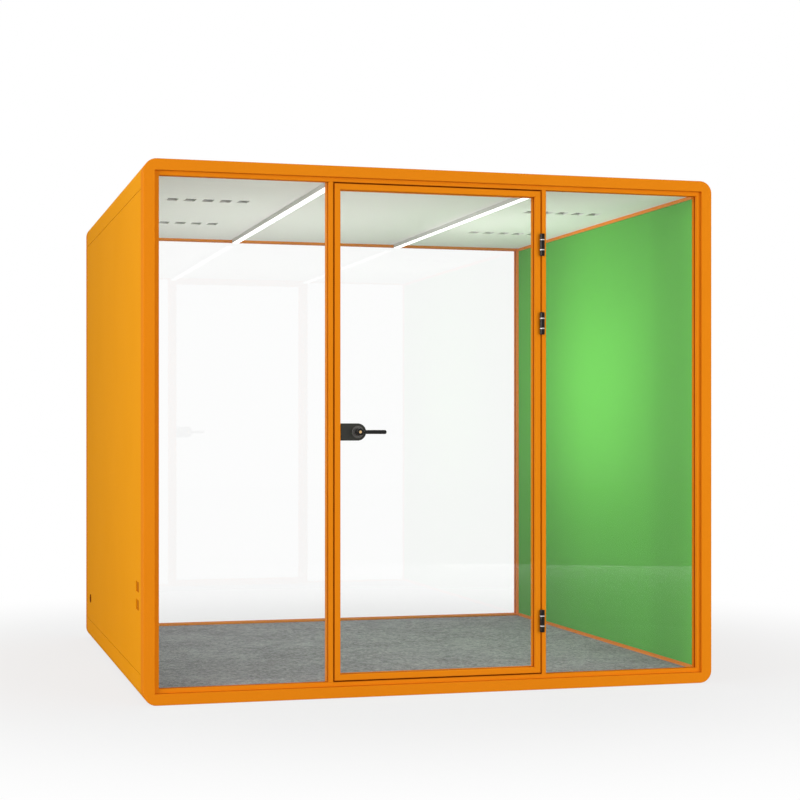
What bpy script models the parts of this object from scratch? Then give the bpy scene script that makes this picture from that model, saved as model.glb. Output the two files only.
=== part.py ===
"""Acoustic work pod: a free-standing glazed room with a rounded steel shell.

The origin is the centre of the footprint at floor level, +X runs to the right seen
from the front, the glazed front faces -Y and +Z is up. All sizes are in metres.
"""
import math

import bmesh
import bpy
from mathutils import Matrix, Vector

# Shell
WIDTH = 2.600
DEPTH = 2.570
HEIGHT = 2.300
CORNER_RADIUS = 0.056
SHEET = 0.0025
RETURN_FLANGE = 0.018
RAIL_REACH = 0.117
CORNER_STEPS = 8
MERGE_DISTANCE = 0.00001
CUTTER_OVERRUN = 0.010

# End rings
RIM_FACE = 0.048
INNER_RIM = 0.019
RIM_STEP = 0.016
RING_WALL = 0.003
FRONT_RING_DEPTH = 0.095
REAR_RING_DEPTH = 0.078
FRONT_REVEAL_DEPTH = 0.060
REAR_REVEAL_DEPTH = 0.098
RIM_EDGE_ROUND = 0.0012

# Clearances
FIT = 0.0003
SEAM = 0.002
RING_SEAM = 0.0008
TURNING_GAP = 0.0004

# Lining
FELT_THICKNESS = 0.009
TRIM_HEIGHT = 0.016
TRIM_SIDE = 0.006
TRIM_PROUD = 0.002
CEILING_LEVEL = 0.058
CEILING_THICKNESS = 0.010
FLOOR_LEVEL = 0.058
CARPET_THICKNESS = 0.0095
DECK_TUCK = 0.0085

# Ceiling slots, in two rows on each side
SLOT_WIDTH = 0.050
SLOT_LENGTH = 0.088
SLOT_PITCH = 0.0845
SLOT_COUNT = 5
SLOT_FROM_SIDE = 0.240
SLOT_ROWS = (0.850, DEPTH - 0.813)

# Light strips
LIGHT_OFFSET = 0.475
LIGHT_WIDTH = 0.038
LIGHT_HEIGHT = 0.020
LIGHT_WALL = 0.0016
LIGHT_END_GAP = 0.125
DIFFUSER_HEIGHT = 0.007
DIFFUSER_CROWN = 0.0015
DIFFUSER_STEPS = 6

# Fans
FAN_SIZE = 0.120
FAN_THICKNESS = 0.025
FAN_BORE_RADIUS = 0.0565
FAN_HUB_RADIUS = 0.020
FAN_BLADES = 7
FAN_BLADE_THICKNESS = 0.0016
BLADE_ROOT_PITCH = 42.0
BLADE_TIP_PITCH = 26.0
BLADE_ROOT_CHORD = 0.82
BLADE_BOW = 0.10
BLADE_HEIGHT_SHARE = 0.75
BLADE_PARTS = (3, 4)
FAN_STRUT = 0.006
FAN_LEDGE = 0.0012
FAN_HOLE_RADIUS = 0.0022
FAN_HOLE_INSET = 0.0075
BAY_MARGIN = 0.045
GRILLE_SLOTS = 7
GRILLE_SLOT_WIDTH = 0.007
GRILLE_SLOT_LENGTH = 0.100
GRILLE_PITCH = 0.0145
GRILLE_END_SHARE = 0.95

# Light driver
DRIVER_SIZE = (0.240, 0.070, 0.032)
DRIVER_FROM_REAR = 0.570
DRIVER_BAY_MARGIN = 0.030
DRIVER_EDGE_ROUND = 0.003

# Left outer panel features
INTAKE_LENGTH = 0.108
INTAKE_HEIGHT = 0.044
INTAKE_DEPTH = 0.010
INTAKE_FROM_FRONT = 0.155
INTAKE_LEVELS = (0.384, 0.462)
CABLE_HOLE_FROM_REAR = 0.268
CABLE_HOLE_LEVEL = 0.240
GROMMET_FLANGE_RADIUS = 0.024
GROMMET_NECK_RADIUS = 0.019
GROMMET_FLANGE = 0.003
GROMMET_DISH_RADIUS = 0.015
GROMMET_DISH_DEPTH = 0.002

# Front glazing
MULLION_WIDTH = 0.020
MULLION_DEPTH = 0.082
DOOR_GAP = 0.006
DOOR_WIDTH = 0.946
DOOR_THICKNESS = 0.062
DOOR_MEMBER = 0.026
GLASS_THICKNESS = 0.010
GLASS_SETBACK = 0.022
RUBBER = 0.003
GROOVE_DEPTH = 0.014
STOP_OVERLAP = 0.010
STOP_THICKNESS = 0.0135
SEAL_THICKNESS = 0.0055
SEAL_WIDTH = 0.008
DOOR_EDGE_ROUND = 0.0012

# Hinges
HINGE_DROPS = {"top": 0.241, "middle": 0.592}
HINGE_RISE = 0.233
HINGE_HEIGHT = 0.100
BARREL_RADIUS = 0.011
BARREL_CHAMFER = 0.0012
END_KNUCKLE = 0.0255
COLLAR_HEIGHT = 0.004
COLLAR_SHRINK = 0.0005
PIN_RADIUS = 0.004
LEAF_THICKNESS = 0.0024
LEAF_REACH = 0.050
BARREL_STAND_OFF = 0.0005
BARREL_STEPS = 24

# Lock
LOCK_LEVEL = 1.150
LOCK_LENGTH = 0.115
LOCK_HEIGHT = 0.075
LOCK_CORNER = 0.006
LOCK_FRONT_THICKNESS = 0.018
LOCK_BACK_THICKNESS = 0.026
LOCK_SIDE_GAP = 0.0005
LOCK_EDGE_ROUND = 0.002
ROSE_RADIUS = 0.027
ROSE_HEIGHT = 0.003
HUB_RADIUS = 0.0155
HUB_FRONT = 0.027
HUB_EDGE_ROUND = 0.0015
HUB_SEAT_WALL = 0.005
HUB_LENGTH_INSIDE = 0.046
LEVER_RADIUS = 0.008
LEVER_REACH = 0.119
LEVER_DROP_FROM_FACE = 0.011
SPINDLE_RADIUS = 0.007
SPINDLE_BORE = 0.0036
PLUG_RADIUS = 0.0065
PLUG_LENGTH = 0.020
PLUG_SETBACK = 0.0005
TAIL_RADIUS = 0.0032
KEYWAY_WIDTH = 0.0014
KEYWAY_HEIGHT = 0.008
KEYWAY_DEPTH = 0.006
TURN_LENGTH = 0.024
TURN_THICKNESS = 0.007
TURN_HEIGHT = 0.012
GLASS_HOLE_RADIUS = 0.010
LATCH_THICKNESS = 0.012
LATCH_HEIGHT = 0.020
LATCH_SHOW = 0.003
LATCH_DRAW = 0.0115
LATCH_SLACK = 0.0008
LATCH_NOSE_CUT = 0.002
LATCH_TAIL_HEIGHT = 0.007
LATCH_TAIL_THICKNESS = 0.006
CAM_RADIUS = 0.017
CAM_WIDTH = 0.004
TOOTH_LENGTH = 0.005
STRIKE_THICKNESS = 0.0025
STRIKE_WIDTH = 0.022
STRIKE_HEIGHT = 0.070
STRIKE_MARGIN = 0.0015

# Places that several pieces share
FRONT = -DEPTH / 2
REAR = DEPTH / 2
LEFT = -WIDTH / 2
WALL_LINE = RIM_FACE + INNER_RIM
FRONT_MEMBERS = FRONT + RIM_STEP
GLASS_FRONT = FRONT_MEMBERS + GLASS_SETBACK
GLASS_BACK = GLASS_FRONT + GLASS_THICKNESS
REAR_GLASS_BACK = REAR - RIM_STEP - GLASS_SETBACK
ROOM_FRONT = FRONT + FRONT_REVEAL_DEPTH + FIT
ROOM_REAR = REAR - REAR_REVEAL_DEPTH - FIT
PANEL_FRONT = FRONT + FRONT_RING_DEPTH + RING_SEAM
PANEL_REAR = REAR - REAR_RING_DEPTH - RING_SEAM
CORE_FRONT = PANEL_FRONT + SHEET + FIT
CORE_REAR = min(PANEL_REAR - SHEET - FIT, ROOM_REAR)
DOOR_LEFT = -DOOR_WIDTH / 2
DOOR_RIGHT = DOOR_WIDTH / 2
DOOR_BOTTOM = WALL_LINE + DOOR_GAP
DOOR_TOP = HEIGHT - WALL_LINE - DOOR_GAP
DOOR_BACK = FRONT_MEMBERS + DOOR_THICKNESS
MULLION_BACK = FRONT_MEMBERS + MULLION_DEPTH
HINGE_LEVELS = {name: DOOR_TOP - drop for name, drop in HINGE_DROPS.items()}
HINGE_LEVELS["bottom"] = DOOR_BOTTOM + HINGE_RISE
HINGE_X = DOOR_RIGHT + DOOR_GAP / 2
HINGE_Y = FRONT_MEMBERS - BARREL_RADIUS - BARREL_STAND_OFF
LOCK_LEFT = DOOR_LEFT + DOOR_MEMBER + LOCK_SIDE_GAP
LOCK_X = LOCK_LEFT + LOCK_LENGTH - LOCK_HEIGHT / 2
LOCK_FACE = GLASS_FRONT - FIT - LOCK_FRONT_THICKNESS
LOCK_BACK_FACE = GLASS_BACK + FIT + LOCK_BACK_THICKNESS
LATCH_Y = GLASS_BACK + FIT + LOCK_BACK_THICKNESS / 2
CEILING_UNDERSIDE = HEIGHT - CEILING_LEVEL
CEILING_TOP = CEILING_UNDERSIDE + CEILING_THICKNESS

COLLECTION_NAME = "acoustic_work_pod"
CUTTER_COLLECTION_NAME = "cutters"

PAINT_ORANGE = ("shell_paint", (0.80, 0.30, 0.02), 0.45, 0.0)
FRAME_ORANGE = ("frame_paint", (0.78, 0.27, 0.015), 0.40, 0.0)
GLASS_CLEAR = ("clear_glass", (0.90, 0.96, 0.94), 0.04, 0.0)
RUBBER_BLACK = ("black_rubber", (0.03, 0.03, 0.03), 0.85, 0.0)
GUNMETAL = ("hinge_gunmetal", (0.12, 0.12, 0.12), 0.35, 0.9)
LOCK_BLACK = ("lock_black", (0.03, 0.03, 0.028), 0.40, 0.3)
BRASS = ("cylinder_brass", (0.75, 0.52, 0.22), 0.30, 1.0)
STEEL = ("bright_steel", (0.60, 0.60, 0.60), 0.30, 1.0)
FELT_GREEN = ("green_felt", (0.10, 0.42, 0.08), 0.95, 0.0)
FELT_GREY = ("grey_felt", (0.55, 0.55, 0.54), 0.95, 0.0)
MINERAL_WOOL = ("mineral_wool", (0.62, 0.58, 0.42), 0.95, 0.0)
CEILING_GREY = ("ceiling_board", (0.62, 0.63, 0.61), 0.80, 0.0)
BOARD_BROWN = ("floor_board", (0.45, 0.32, 0.20), 0.80, 0.0)
CARPET_GREY = ("carpet_pile", (0.22, 0.22, 0.23), 0.98, 0.0)
LIGHT_WHITE = ("housing_white", (0.80, 0.80, 0.80), 0.50, 0.0)
DIFFUSER_WHITE = ("diffuser_white", (0.95, 0.95, 0.93), 0.60, 0.0)
FAN_BLACK = ("fan_black", (0.04, 0.04, 0.04), 0.55, 0.0)
DRIVER_GREY = ("driver_grey", (0.50, 0.51, 0.52), 0.50, 0.6)


def clear_scene():
    """Remove every object that the scene starts with."""
    for obj in list(bpy.data.objects):
        bpy.data.objects.remove(obj, do_unlink=True)


def new_collection(name):
    """Make a collection in the scene."""
    collection = bpy.data.collections.new(name)
    bpy.context.scene.collection.children.link(collection)
    return collection


def finish(spec):
    """Give the material of a colour, roughness and metallic value, made once for each piece."""
    name, colour, roughness, metallic = spec
    material = bpy.data.materials.new(name)
    material.use_nodes = True
    shader = material.node_tree.nodes["Principled BSDF"]
    shader.inputs["Base Color"].default_value = (*colour, 1.0)
    shader.inputs["Roughness"].default_value = roughness
    shader.inputs["Metallic"].default_value = metallic
    return material


def link(obj, spec=None, cutter=False):
    """Put an object in the collection of parts or of cutters."""
    if cutter:
        CUTTERS.objects.link(obj)
        obj.hide_render = True
        obj.display_type = "WIRE"
    else:
        PARTS.objects.link(obj)
        obj.data.materials.append(finish(spec))
    return obj


def box(name, low, high, spec=None, cutter=False):
    """A box between two corners, placed by its centre."""
    low = Vector(low)
    high = Vector(high)
    shape = bmesh.new()
    bmesh.ops.create_cube(shape, size=1.0, matrix=Matrix.Diagonal((*(high - low), 1.0)))
    mesh = bpy.data.meshes.new(name)
    shape.to_mesh(mesh)
    shape.free()
    obj = bpy.data.objects.new(name, mesh)
    obj.location = (low + high) / 2
    return link(obj, spec, cutter)


PLANE_TURNS = {
    "XY": (0.0, 0.0, 0.0),
    "XZ": (math.pi / 2, 0.0, 0.0),
    "YZ": (math.pi / 2, 0.0, math.pi / 2),
}


def outline(name, loops, low, high, plane, spec=None, cutter=False):
    """A flat outline with its holes, given thickness from low to high along the plane's normal."""
    curve = bpy.data.curves.new(name, "CURVE")
    curve.dimensions = "2D"
    curve.fill_mode = "BOTH"
    curve.extrude = (high - low) / 2
    for loop in loops:
        spline = curve.splines.new("POLY")
        spline.points.add(len(loop) - 1)
        for point, (a, b) in zip(spline.points, loop):
            point.co = (a, b, 0.0, 1.0)
        spline.use_cyclic_u = True
    guide = bpy.data.objects.new(name + "_outline", curve)
    guide.rotation_euler = PLANE_TURNS[plane]
    middle = (low + high) / 2
    guide.location = {"XY": (0, 0, middle), "XZ": (0, middle, 0), "YZ": (middle, 0, 0)}[plane]
    return curve_to_mesh(guide, name, spec, cutter)


def curve_to_mesh(guide, name, spec=None, cutter=False):
    """Turn a curve object into a mesh object in the same place, with its caps joined on."""
    PARTS.objects.link(guide)
    bpy.context.view_layer.update()
    evaluated = guide.evaluated_get(bpy.context.evaluated_depsgraph_get())
    mesh = bpy.data.meshes.new_from_object(evaluated)
    place = guide.matrix_world.copy()
    bpy.data.objects.remove(guide, do_unlink=True)
    shape = bmesh.new()
    shape.from_mesh(mesh)
    bmesh.ops.remove_doubles(shape, verts=shape.verts, dist=MERGE_DISTANCE)
    bmesh.ops.recalc_face_normals(shape, faces=shape.faces)
    shape.to_mesh(mesh)
    shape.free()
    mesh.materials.clear()
    obj = bpy.data.objects.new(name, mesh)
    obj.matrix_world = place
    return link(obj, spec, cutter)


def rectangle(a0, b0, a1, b1):
    """The four corners of a rectangle."""
    return [(a0, b0), (a1, b0), (a1, b1), (a0, b1)]


def arc(centre, radius, start, end, steps):
    """Points on an arc between two angles in degrees, both ends included."""
    points = []
    for step in range(steps + 1):
        angle = math.radians(start + (end - start) * step / steps)
        points.append((centre[0] + radius * math.cos(angle), centre[1] + radius * math.sin(angle)))
    return points


def circle(centre, radius, steps=32):
    """Points round a full circle."""
    return arc(centre, radius, 0.0, 360.0 * (steps - 1) / steps, steps - 1)


def rounded_rectangle(a0, b0, a1, b1, radius, steps=CORNER_STEPS):
    """A rectangle with arcs of one radius at its corners."""
    points = []
    points += arc((a0 + radius, b0 + radius), radius, 180, 270, steps)
    points += arc((a1 - radius, b0 + radius), radius, 270, 360, steps)
    points += arc((a1 - radius, b1 - radius), radius, 0, 90, steps)
    points += arc((a0 + radius, b1 - radius), radius, 90, 180, steps)
    return points


def shell_outline(inset):
    """The rounded outline of the shell seen from the front, moved in by a distance."""
    return rounded_rectangle(LEFT + inset, inset, -LEFT - inset, HEIGHT - inset, CORNER_RADIUS - inset)


def shell_rectangle(inset):
    """A square-cornered outline inside the shell, moved in by a distance."""
    return rectangle(LEFT + inset, inset, -LEFT - inset, HEIGHT - inset)


def turned(name, profile, place, axis, spec=None, cutter=False, steps=BARREL_STEPS):
    """A turned piece: a profile of (radius, height) pairs, top to bottom, spun about an axis at a place."""
    mesh = bpy.data.meshes.new(name)
    vertices = [(radius, 0.0, height) for radius, height in profile]
    edges = [(i, i + 1) for i in range(len(profile) - 1)]
    if profile[0][0] > 0.0:
        edges.append((len(profile) - 1, 0))
    mesh.from_pydata(vertices, edges, [])
    obj = bpy.data.objects.new(name, mesh)
    obj.location = place
    if axis == "Y":
        obj.rotation_euler = (-math.pi / 2, 0.0, 0.0)
    if axis == "X":
        obj.rotation_euler = (0.0, math.pi / 2, 0.0)
    link(obj, spec, cutter)
    screw = obj.modifiers.new("turn", "SCREW")
    screw.steps = steps
    screw.render_steps = steps
    screw.use_merge_vertices = True
    screw.merge_threshold = MERGE_DISTANCE
    screw.use_smooth_shade = False
    return obj


def combine(obj, other, operation):
    """Cut, join or intersect an object with another by an exact Boolean."""
    modifier = obj.modifiers.new(operation.lower(), "BOOLEAN")
    modifier.operation = operation
    modifier.solver = "EXACT"
    modifier.object = other
    return obj


def cut(obj, *others):
    """Cut cutters out of an object."""
    for other in others:
        combine(obj, other, "DIFFERENCE")
    return obj


def join(obj, *others):
    """Join hidden helper solids to an object."""
    for other in others:
        combine(obj, other, "UNION")
    return obj


def soften(obj, width, segments=2):
    """Round an object's sharp edges."""
    bevel = obj.modifiers.new("soften", "BEVEL")
    bevel.width = width
    bevel.segments = segments
    bevel.limit_method = "ANGLE"
    bevel.angle_limit = math.radians(40)
    bevel.use_clamp_overlap = True
    return obj


def pan(name, low, high, open_axis, open_sign, spec):
    """A folded sheet panel: a box without one face, given the sheet's thickness inwards."""
    low = Vector(low)
    high = Vector(high)
    shape = bmesh.new()
    bmesh.ops.create_cube(shape, size=1.0, matrix=Matrix.Diagonal((*(high - low), 1.0)))
    shape.faces.ensure_lookup_table()
    open_faces = [face for face in shape.faces if face.normal[open_axis] * open_sign > 0.9]
    bmesh.ops.delete(shape, geom=open_faces, context="FACES_ONLY")
    mesh = bpy.data.meshes.new(name)
    shape.to_mesh(mesh)
    shape.free()
    obj = bpy.data.objects.new(name, mesh)
    obj.location = (low + high) / 2
    link(obj, spec)
    solidify = obj.modifiers.new("sheet", "SOLIDIFY")
    solidify.thickness = SHEET
    solidify.offset = -1.0
    solidify.use_even_offset = True
    return obj


def axis_empty(name, place, parent=None):
    """An empty that marks a joint's axis."""
    empty = bpy.data.objects.new(name, None)
    empty.location = place
    empty.empty_display_size = 0.05
    PARTS.objects.link(empty)
    bpy.context.view_layer.update()
    if parent is not None:
        hang(empty, parent)
    return empty


def hang(obj, parent):
    """Parent an object to an axis without moving it."""
    bpy.context.view_layer.update()
    obj.parent = parent
    obj.matrix_parent_inverse = parent.matrix_world.inverted()


def build_ring(name, face, inward, skin_depth, reveal_depth):
    """An end ring: a folded rim with a stepped inner rim, hollow and open towards the room."""

    def span(near, far):
        return sorted((face + inward * near, face + inward * far))

    deepest = max(skin_depth, reveal_depth)
    low, high = span(0.0, deepest)
    ring = outline(name, [shell_outline(0.0), shell_rectangle(WALL_LINE)], low, high, "XZ", PAINT_ORANGE)
    low, high = span(-CUTTER_OVERRUN, RIM_STEP)
    step = outline(name + "_step", [shell_rectangle(RIM_FACE)], low, high, "XZ", cutter=True)
    behind = shell_rectangle(RIM_FACE - 2 * RING_WALL)
    if reveal_depth < skin_depth:
        low, high = span(reveal_depth, skin_depth + CUTTER_OVERRUN)
        back_loops = [behind]
    else:
        low, high = span(skin_depth, reveal_depth + CUTTER_OVERRUN)
        back_loops = [shell_rectangle(-CUTTER_OVERRUN), behind]
    back = outline(name + "_back", back_loops, low, high, "XZ", cutter=True)
    low, high = span(RING_WALL, deepest + CUTTER_OVERRUN)
    channel_loops = [shell_outline(RING_WALL), shell_rectangle(RIM_FACE - RING_WALL)]
    channel = outline(name + "_channel", channel_loops, low, high, "XZ", cutter=True)
    return cut(ring, step, back, channel)


def build_rails():
    """The four rounded corner rails that run from ring to ring."""
    for level, up in (("top", 1), ("bottom", -1)):
        for side, right in (("left", -1), ("right", 1)):
            outer_arc = arc((0.0, 0.0), CORNER_RADIUS, 0, 90, CORNER_STEPS)
            inner_arc = arc((0.0, 0.0), CORNER_RADIUS - SHEET, 90, 0, CORNER_STEPS)
            leg = RAIL_REACH - CORNER_RADIUS
            section = [(CORNER_RADIUS, -leg)] + outer_arc + [(-leg, CORNER_RADIUS)]
            section += [(-leg, CORNER_RADIUS - SHEET)] + inner_arc + [(CORNER_RADIUS - SHEET, -leg)]
            centre_x = right * (WIDTH / 2 - CORNER_RADIUS)
            centre_z = HEIGHT - CORNER_RADIUS if up > 0 else CORNER_RADIUS
            points = [(centre_x + right * a, centre_z + up * b) for a, b in section]
            outline(f"rail_{level}_{side}", [points], PANEL_FRONT, PANEL_REAR, "XZ", PAINT_ORANGE)


def fan_centres():
    """The two fans' sides and centres along X and Y."""
    across = WIDTH / 2 - SLOT_FROM_SIDE - SLOT_PITCH * (SLOT_COUNT - 1) / 2
    middle = FRONT + sum(SLOT_ROWS) / 2
    return (("left", -across, middle), ("right", across, middle))


def build_roof():
    """The roof's folded panel with its two fan grilles, and the wool core with bays for the works."""
    reach = WIDTH / 2 - RAIL_REACH - SEAM
    low = (-reach, PANEL_FRONT, HEIGHT - RETURN_FLANGE)
    panel = pan("roof_panel", low, (reach, PANEL_REAR, HEIGHT), 2, -1, PAINT_ORANGE)
    slots = []
    for _, x, y in fan_centres():
        for index in range(GRILLE_SLOTS):
            middle = x + (index - (GRILLE_SLOTS - 1) / 2) * GRILLE_PITCH
            half_width = GRILLE_SLOT_WIDTH / 2
            half_length = GRILLE_SLOT_LENGTH / 2
            corners = (middle - half_width, y - half_length, middle + half_width, y + half_length)
            slots.append(rounded_rectangle(*corners, half_width * GRILLE_END_SHARE, 3))
    grille = outline("roof_grille_cut", slots, HEIGHT - 2 * SHEET, HEIGHT + SHEET, "XY", cutter=True)
    cut(panel, grille)

    inset = SHEET + FIT
    plan = rectangle(-reach + inset, CORE_FRONT, reach - inset, CORE_REAR)
    bays = [plan]
    for _, x, _ in fan_centres():
        half = SLOT_PITCH * (SLOT_COUNT - 1) / 2 + BAY_MARGIN
        front_end = FRONT + SLOT_ROWS[0] - SLOT_LENGTH / 2 - BAY_MARGIN
        rear_end = FRONT + SLOT_ROWS[1] + SLOT_LENGTH / 2 + BAY_MARGIN
        bays.append(rectangle(x - half, front_end, x + half, rear_end))
    driver_half_x = DRIVER_SIZE[0] / 2 + DRIVER_BAY_MARGIN
    driver_half_y = DRIVER_SIZE[1] / 2 + DRIVER_BAY_MARGIN
    driver_y = REAR - DRIVER_FROM_REAR
    bays.append(rectangle(-driver_half_x, driver_y - driver_half_y, driver_half_x, driver_y + driver_half_y))
    outline("roof_core", bays, CEILING_TOP + FIT, HEIGHT - SHEET - FIT, "XY", MINERAL_WOOL)


def build_floor():
    """The base tray with its core, the floor deck on it, and the carpet between the walls."""
    reach = WIDTH / 2 - RAIL_REACH - SEAM
    pan("base_tray", (-reach, PANEL_FRONT, 0.0), (reach, PANEL_REAR, RETURN_FLANGE), 2, 1, PAINT_ORANGE)
    inset = SHEET + FIT
    core_low = (-reach + inset, PANEL_FRONT + inset, inset)
    box("floor_core", core_low, (reach - inset, PANEL_REAR - inset, RETURN_FLANGE), MINERAL_WOOL)
    carpet_bottom = FLOOR_LEVEL - CARPET_THICKNESS
    deck_top = carpet_bottom - FIT
    deck_reach = WIDTH / 2 - WALL_LINE + DECK_TUCK
    deck_low = (-deck_reach, ROOM_FRONT, RETURN_FLANGE + FIT)
    box("floor_deck", deck_low, (deck_reach, ROOM_REAR, deck_top), BOARD_BROWN)
    wall = WIDTH / 2 - WALL_LINE - TRIM_PROUD - FIT
    box("carpet", (-wall, ROOM_FRONT, carpet_bottom), (wall, ROOM_REAR, FLOOR_LEVEL), CARPET_GREY)


def build_side(side, right):
    """One side wall: folded outer panel, wool core, felt lining and the trim round the felt."""
    def across(distance):
        return right * (WIDTH / 2 - distance)

    def span(near, far):
        return sorted((across(near), across(far)))

    panel_low = RAIL_REACH + SEAM
    panel_high = HEIGHT - RAIL_REACH - SEAM
    low_x, high_x = span(0.0, RETURN_FLANGE)
    corners = ((low_x, PANEL_FRONT, panel_low), (high_x, PANEL_REAR, panel_high))
    panel = pan(f"{side}_outer_panel", *corners, 0, -right, PAINT_ORANGE)

    inset = SHEET + FIT
    felt_back = WALL_LINE - FELT_THICKNESS
    low_x, high_x = span(inset, felt_back - FIT)
    core_low = (low_x, CORE_FRONT, panel_low + inset)
    core_high = (high_x, CORE_REAR, panel_high - inset)
    core = box(f"{side}_wall_core", core_low, core_high, MINERAL_WOOL)

    foot = FLOOR_LEVEL - CARPET_THICKNESS
    head = CEILING_UNDERSIDE - FIT
    trim_loops = [
        rectangle(ROOM_FRONT, foot, ROOM_REAR, head),
        rectangle(ROOM_FRONT + TRIM_SIDE, FLOOR_LEVEL + TRIM_HEIGHT, ROOM_REAR - TRIM_SIDE, head - TRIM_HEIGHT),
    ]
    low_x, high_x = span(felt_back, WALL_LINE + TRIM_PROUD)
    outline(f"{side}_wall_trim", trim_loops, low_x, high_x, "YZ", FRAME_ORANGE)
    low_x, high_x = span(felt_back, WALL_LINE)
    felt_low = (low_x, ROOM_FRONT + TRIM_SIDE + FIT, FLOOR_LEVEL + TRIM_HEIGHT + FIT)
    felt_high = (high_x, ROOM_REAR - TRIM_SIDE - FIT, head - TRIM_HEIGHT - FIT)
    box(f"{side}_felt_panel", felt_low, felt_high, FELT_GREEN if right > 0 else FELT_GREY)
    return panel, core


def build_intakes(panel, core):
    """Two pressed recesses in the left outer panel, with room for them in the core."""
    for number, level in enumerate(INTAKE_LEVELS):
        start = FRONT + INTAKE_FROM_FRONT
        end = start + INTAKE_LENGTH
        top = level + INTAKE_HEIGHT
        wall_low = (LEFT + SHEET / 2, start - SHEET, level - SHEET)
        wall_high = (LEFT + INTAKE_DEPTH + SHEET, end + SHEET, top + SHEET)
        join(panel, box(f"intake_{number}_wall", wall_low, wall_high, cutter=True))
        mouth_low = (LEFT - SHEET, start, level)
        mouth_high = (LEFT + INTAKE_DEPTH, end, top)
        cut(panel, box(f"intake_{number}_mouth", mouth_low, mouth_high, cutter=True))
        room_low = (LEFT, start - SHEET - FIT, level - SHEET - FIT)
        room_high = (LEFT + INTAKE_DEPTH + SHEET + FIT, end + SHEET + FIT, top + SHEET + FIT)
        cut(core, box(f"intake_{number}_room", room_low, room_high, cutter=True))


def build_grommet(panel, core):
    """The round cable grommet low at the rear of the left outer panel."""
    place = (LEFT, REAR - CABLE_HOLE_FROM_REAR, CABLE_HOLE_LEVEL)
    inner = SHEET + FIT
    profile = [
        (0.0, GROMMET_FLANGE + inner),
        (GROMMET_FLANGE_RADIUS, GROMMET_FLANGE + inner),
        (GROMMET_FLANGE_RADIUS, inner),
        (GROMMET_NECK_RADIUS, inner),
        (GROMMET_NECK_RADIUS, -FIT),
        (GROMMET_FLANGE_RADIUS, -FIT),
        (GROMMET_FLANGE_RADIUS - GROMMET_FLANGE / 2, -FIT - GROMMET_FLANGE),
        (GROMMET_DISH_RADIUS, -FIT - GROMMET_FLANGE),
        (GROMMET_DISH_RADIUS, -FIT - GROMMET_FLANGE + GROMMET_DISH_DEPTH),
        (0.0, -FIT - GROMMET_FLANGE + GROMMET_DISH_DEPTH),
    ]
    turned("cable_grommet", profile, place, "X", RUBBER_BLACK)
    hole = GROMMET_NECK_RADIUS + FIT
    hole_profile = [(0.0, 2 * SHEET), (hole, 2 * SHEET), (hole, -SHEET), (0.0, -SHEET)]
    cut(panel, turned("cable_hole", hole_profile, place, "X", cutter=True))
    room = GROMMET_FLANGE_RADIUS + FIT
    room_depth = GROMMET_FLANGE + inner + FIT
    room_profile = [(0.0, room_depth), (room, room_depth), (room, 0.0), (0.0, 0.0)]
    cut(core, turned("grommet_room", room_profile, place, "X", cutter=True))


def build_ceiling():
    """The ceiling board with its rows of slots."""
    reach = WIDTH / 2 - WALL_LINE + DECK_TUCK
    loops = [rectangle(-reach, ROOM_FRONT, reach, ROOM_REAR)]
    for row in SLOT_ROWS:
        for right in (-1, 1):
            for index in range(SLOT_COUNT):
                x = right * (WIDTH / 2 - SLOT_FROM_SIDE - index * SLOT_PITCH)
                y = FRONT + row
                half_x = SLOT_WIDTH / 2
                half_y = SLOT_LENGTH / 2
                loops.append(rectangle(x - half_x, y - half_y, x + half_x, y + half_y))
    outline("ceiling_panel", loops, CEILING_UNDERSIDE, CEILING_TOP, "XY", CEILING_GREY)


def build_lights():
    """Two surface light strips: a channel housing with a crowned diffuser in its mouth."""
    top = CEILING_UNDERSIDE - FIT
    bottom = top - LIGHT_HEIGHT
    half = LIGHT_WIDTH / 2
    front = FRONT + LIGHT_END_GAP
    rear = REAR - LIGHT_END_GAP
    for side, right in (("left", -1), ("right", 1)):
        x = right * LIGHT_OFFSET
        name = f"light_housing_{side}"
        housing = box(name, (x - half, front, bottom), (x + half, rear, top), LIGHT_WHITE)
        wall = LIGHT_WALL
        hollow_low = (x - half + wall, front + wall, bottom - wall)
        hollow_high = (x + half - wall, rear - wall, top - wall)
        cut(housing, box(name + "_hollow", hollow_low, hollow_high, cutter=True))
        inner = half - wall - FIT
        lip = bottom + DIFFUSER_HEIGHT
        crown = []
        for step in range(DIFFUSER_STEPS + 1):
            share = -1.0 + 2.0 * step / DIFFUSER_STEPS
            crown.append((x + inner * share, bottom - DIFFUSER_CROWN * (1.0 - share * share)))
        section = [(x - inner, lip)] + crown + [(x + inner, lip)]
        low = front + wall + FIT
        high = rear - wall - FIT
        outline(f"light_diffuser_{side}", [section], low, high, "XZ", DIFFUSER_WHITE)


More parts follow.
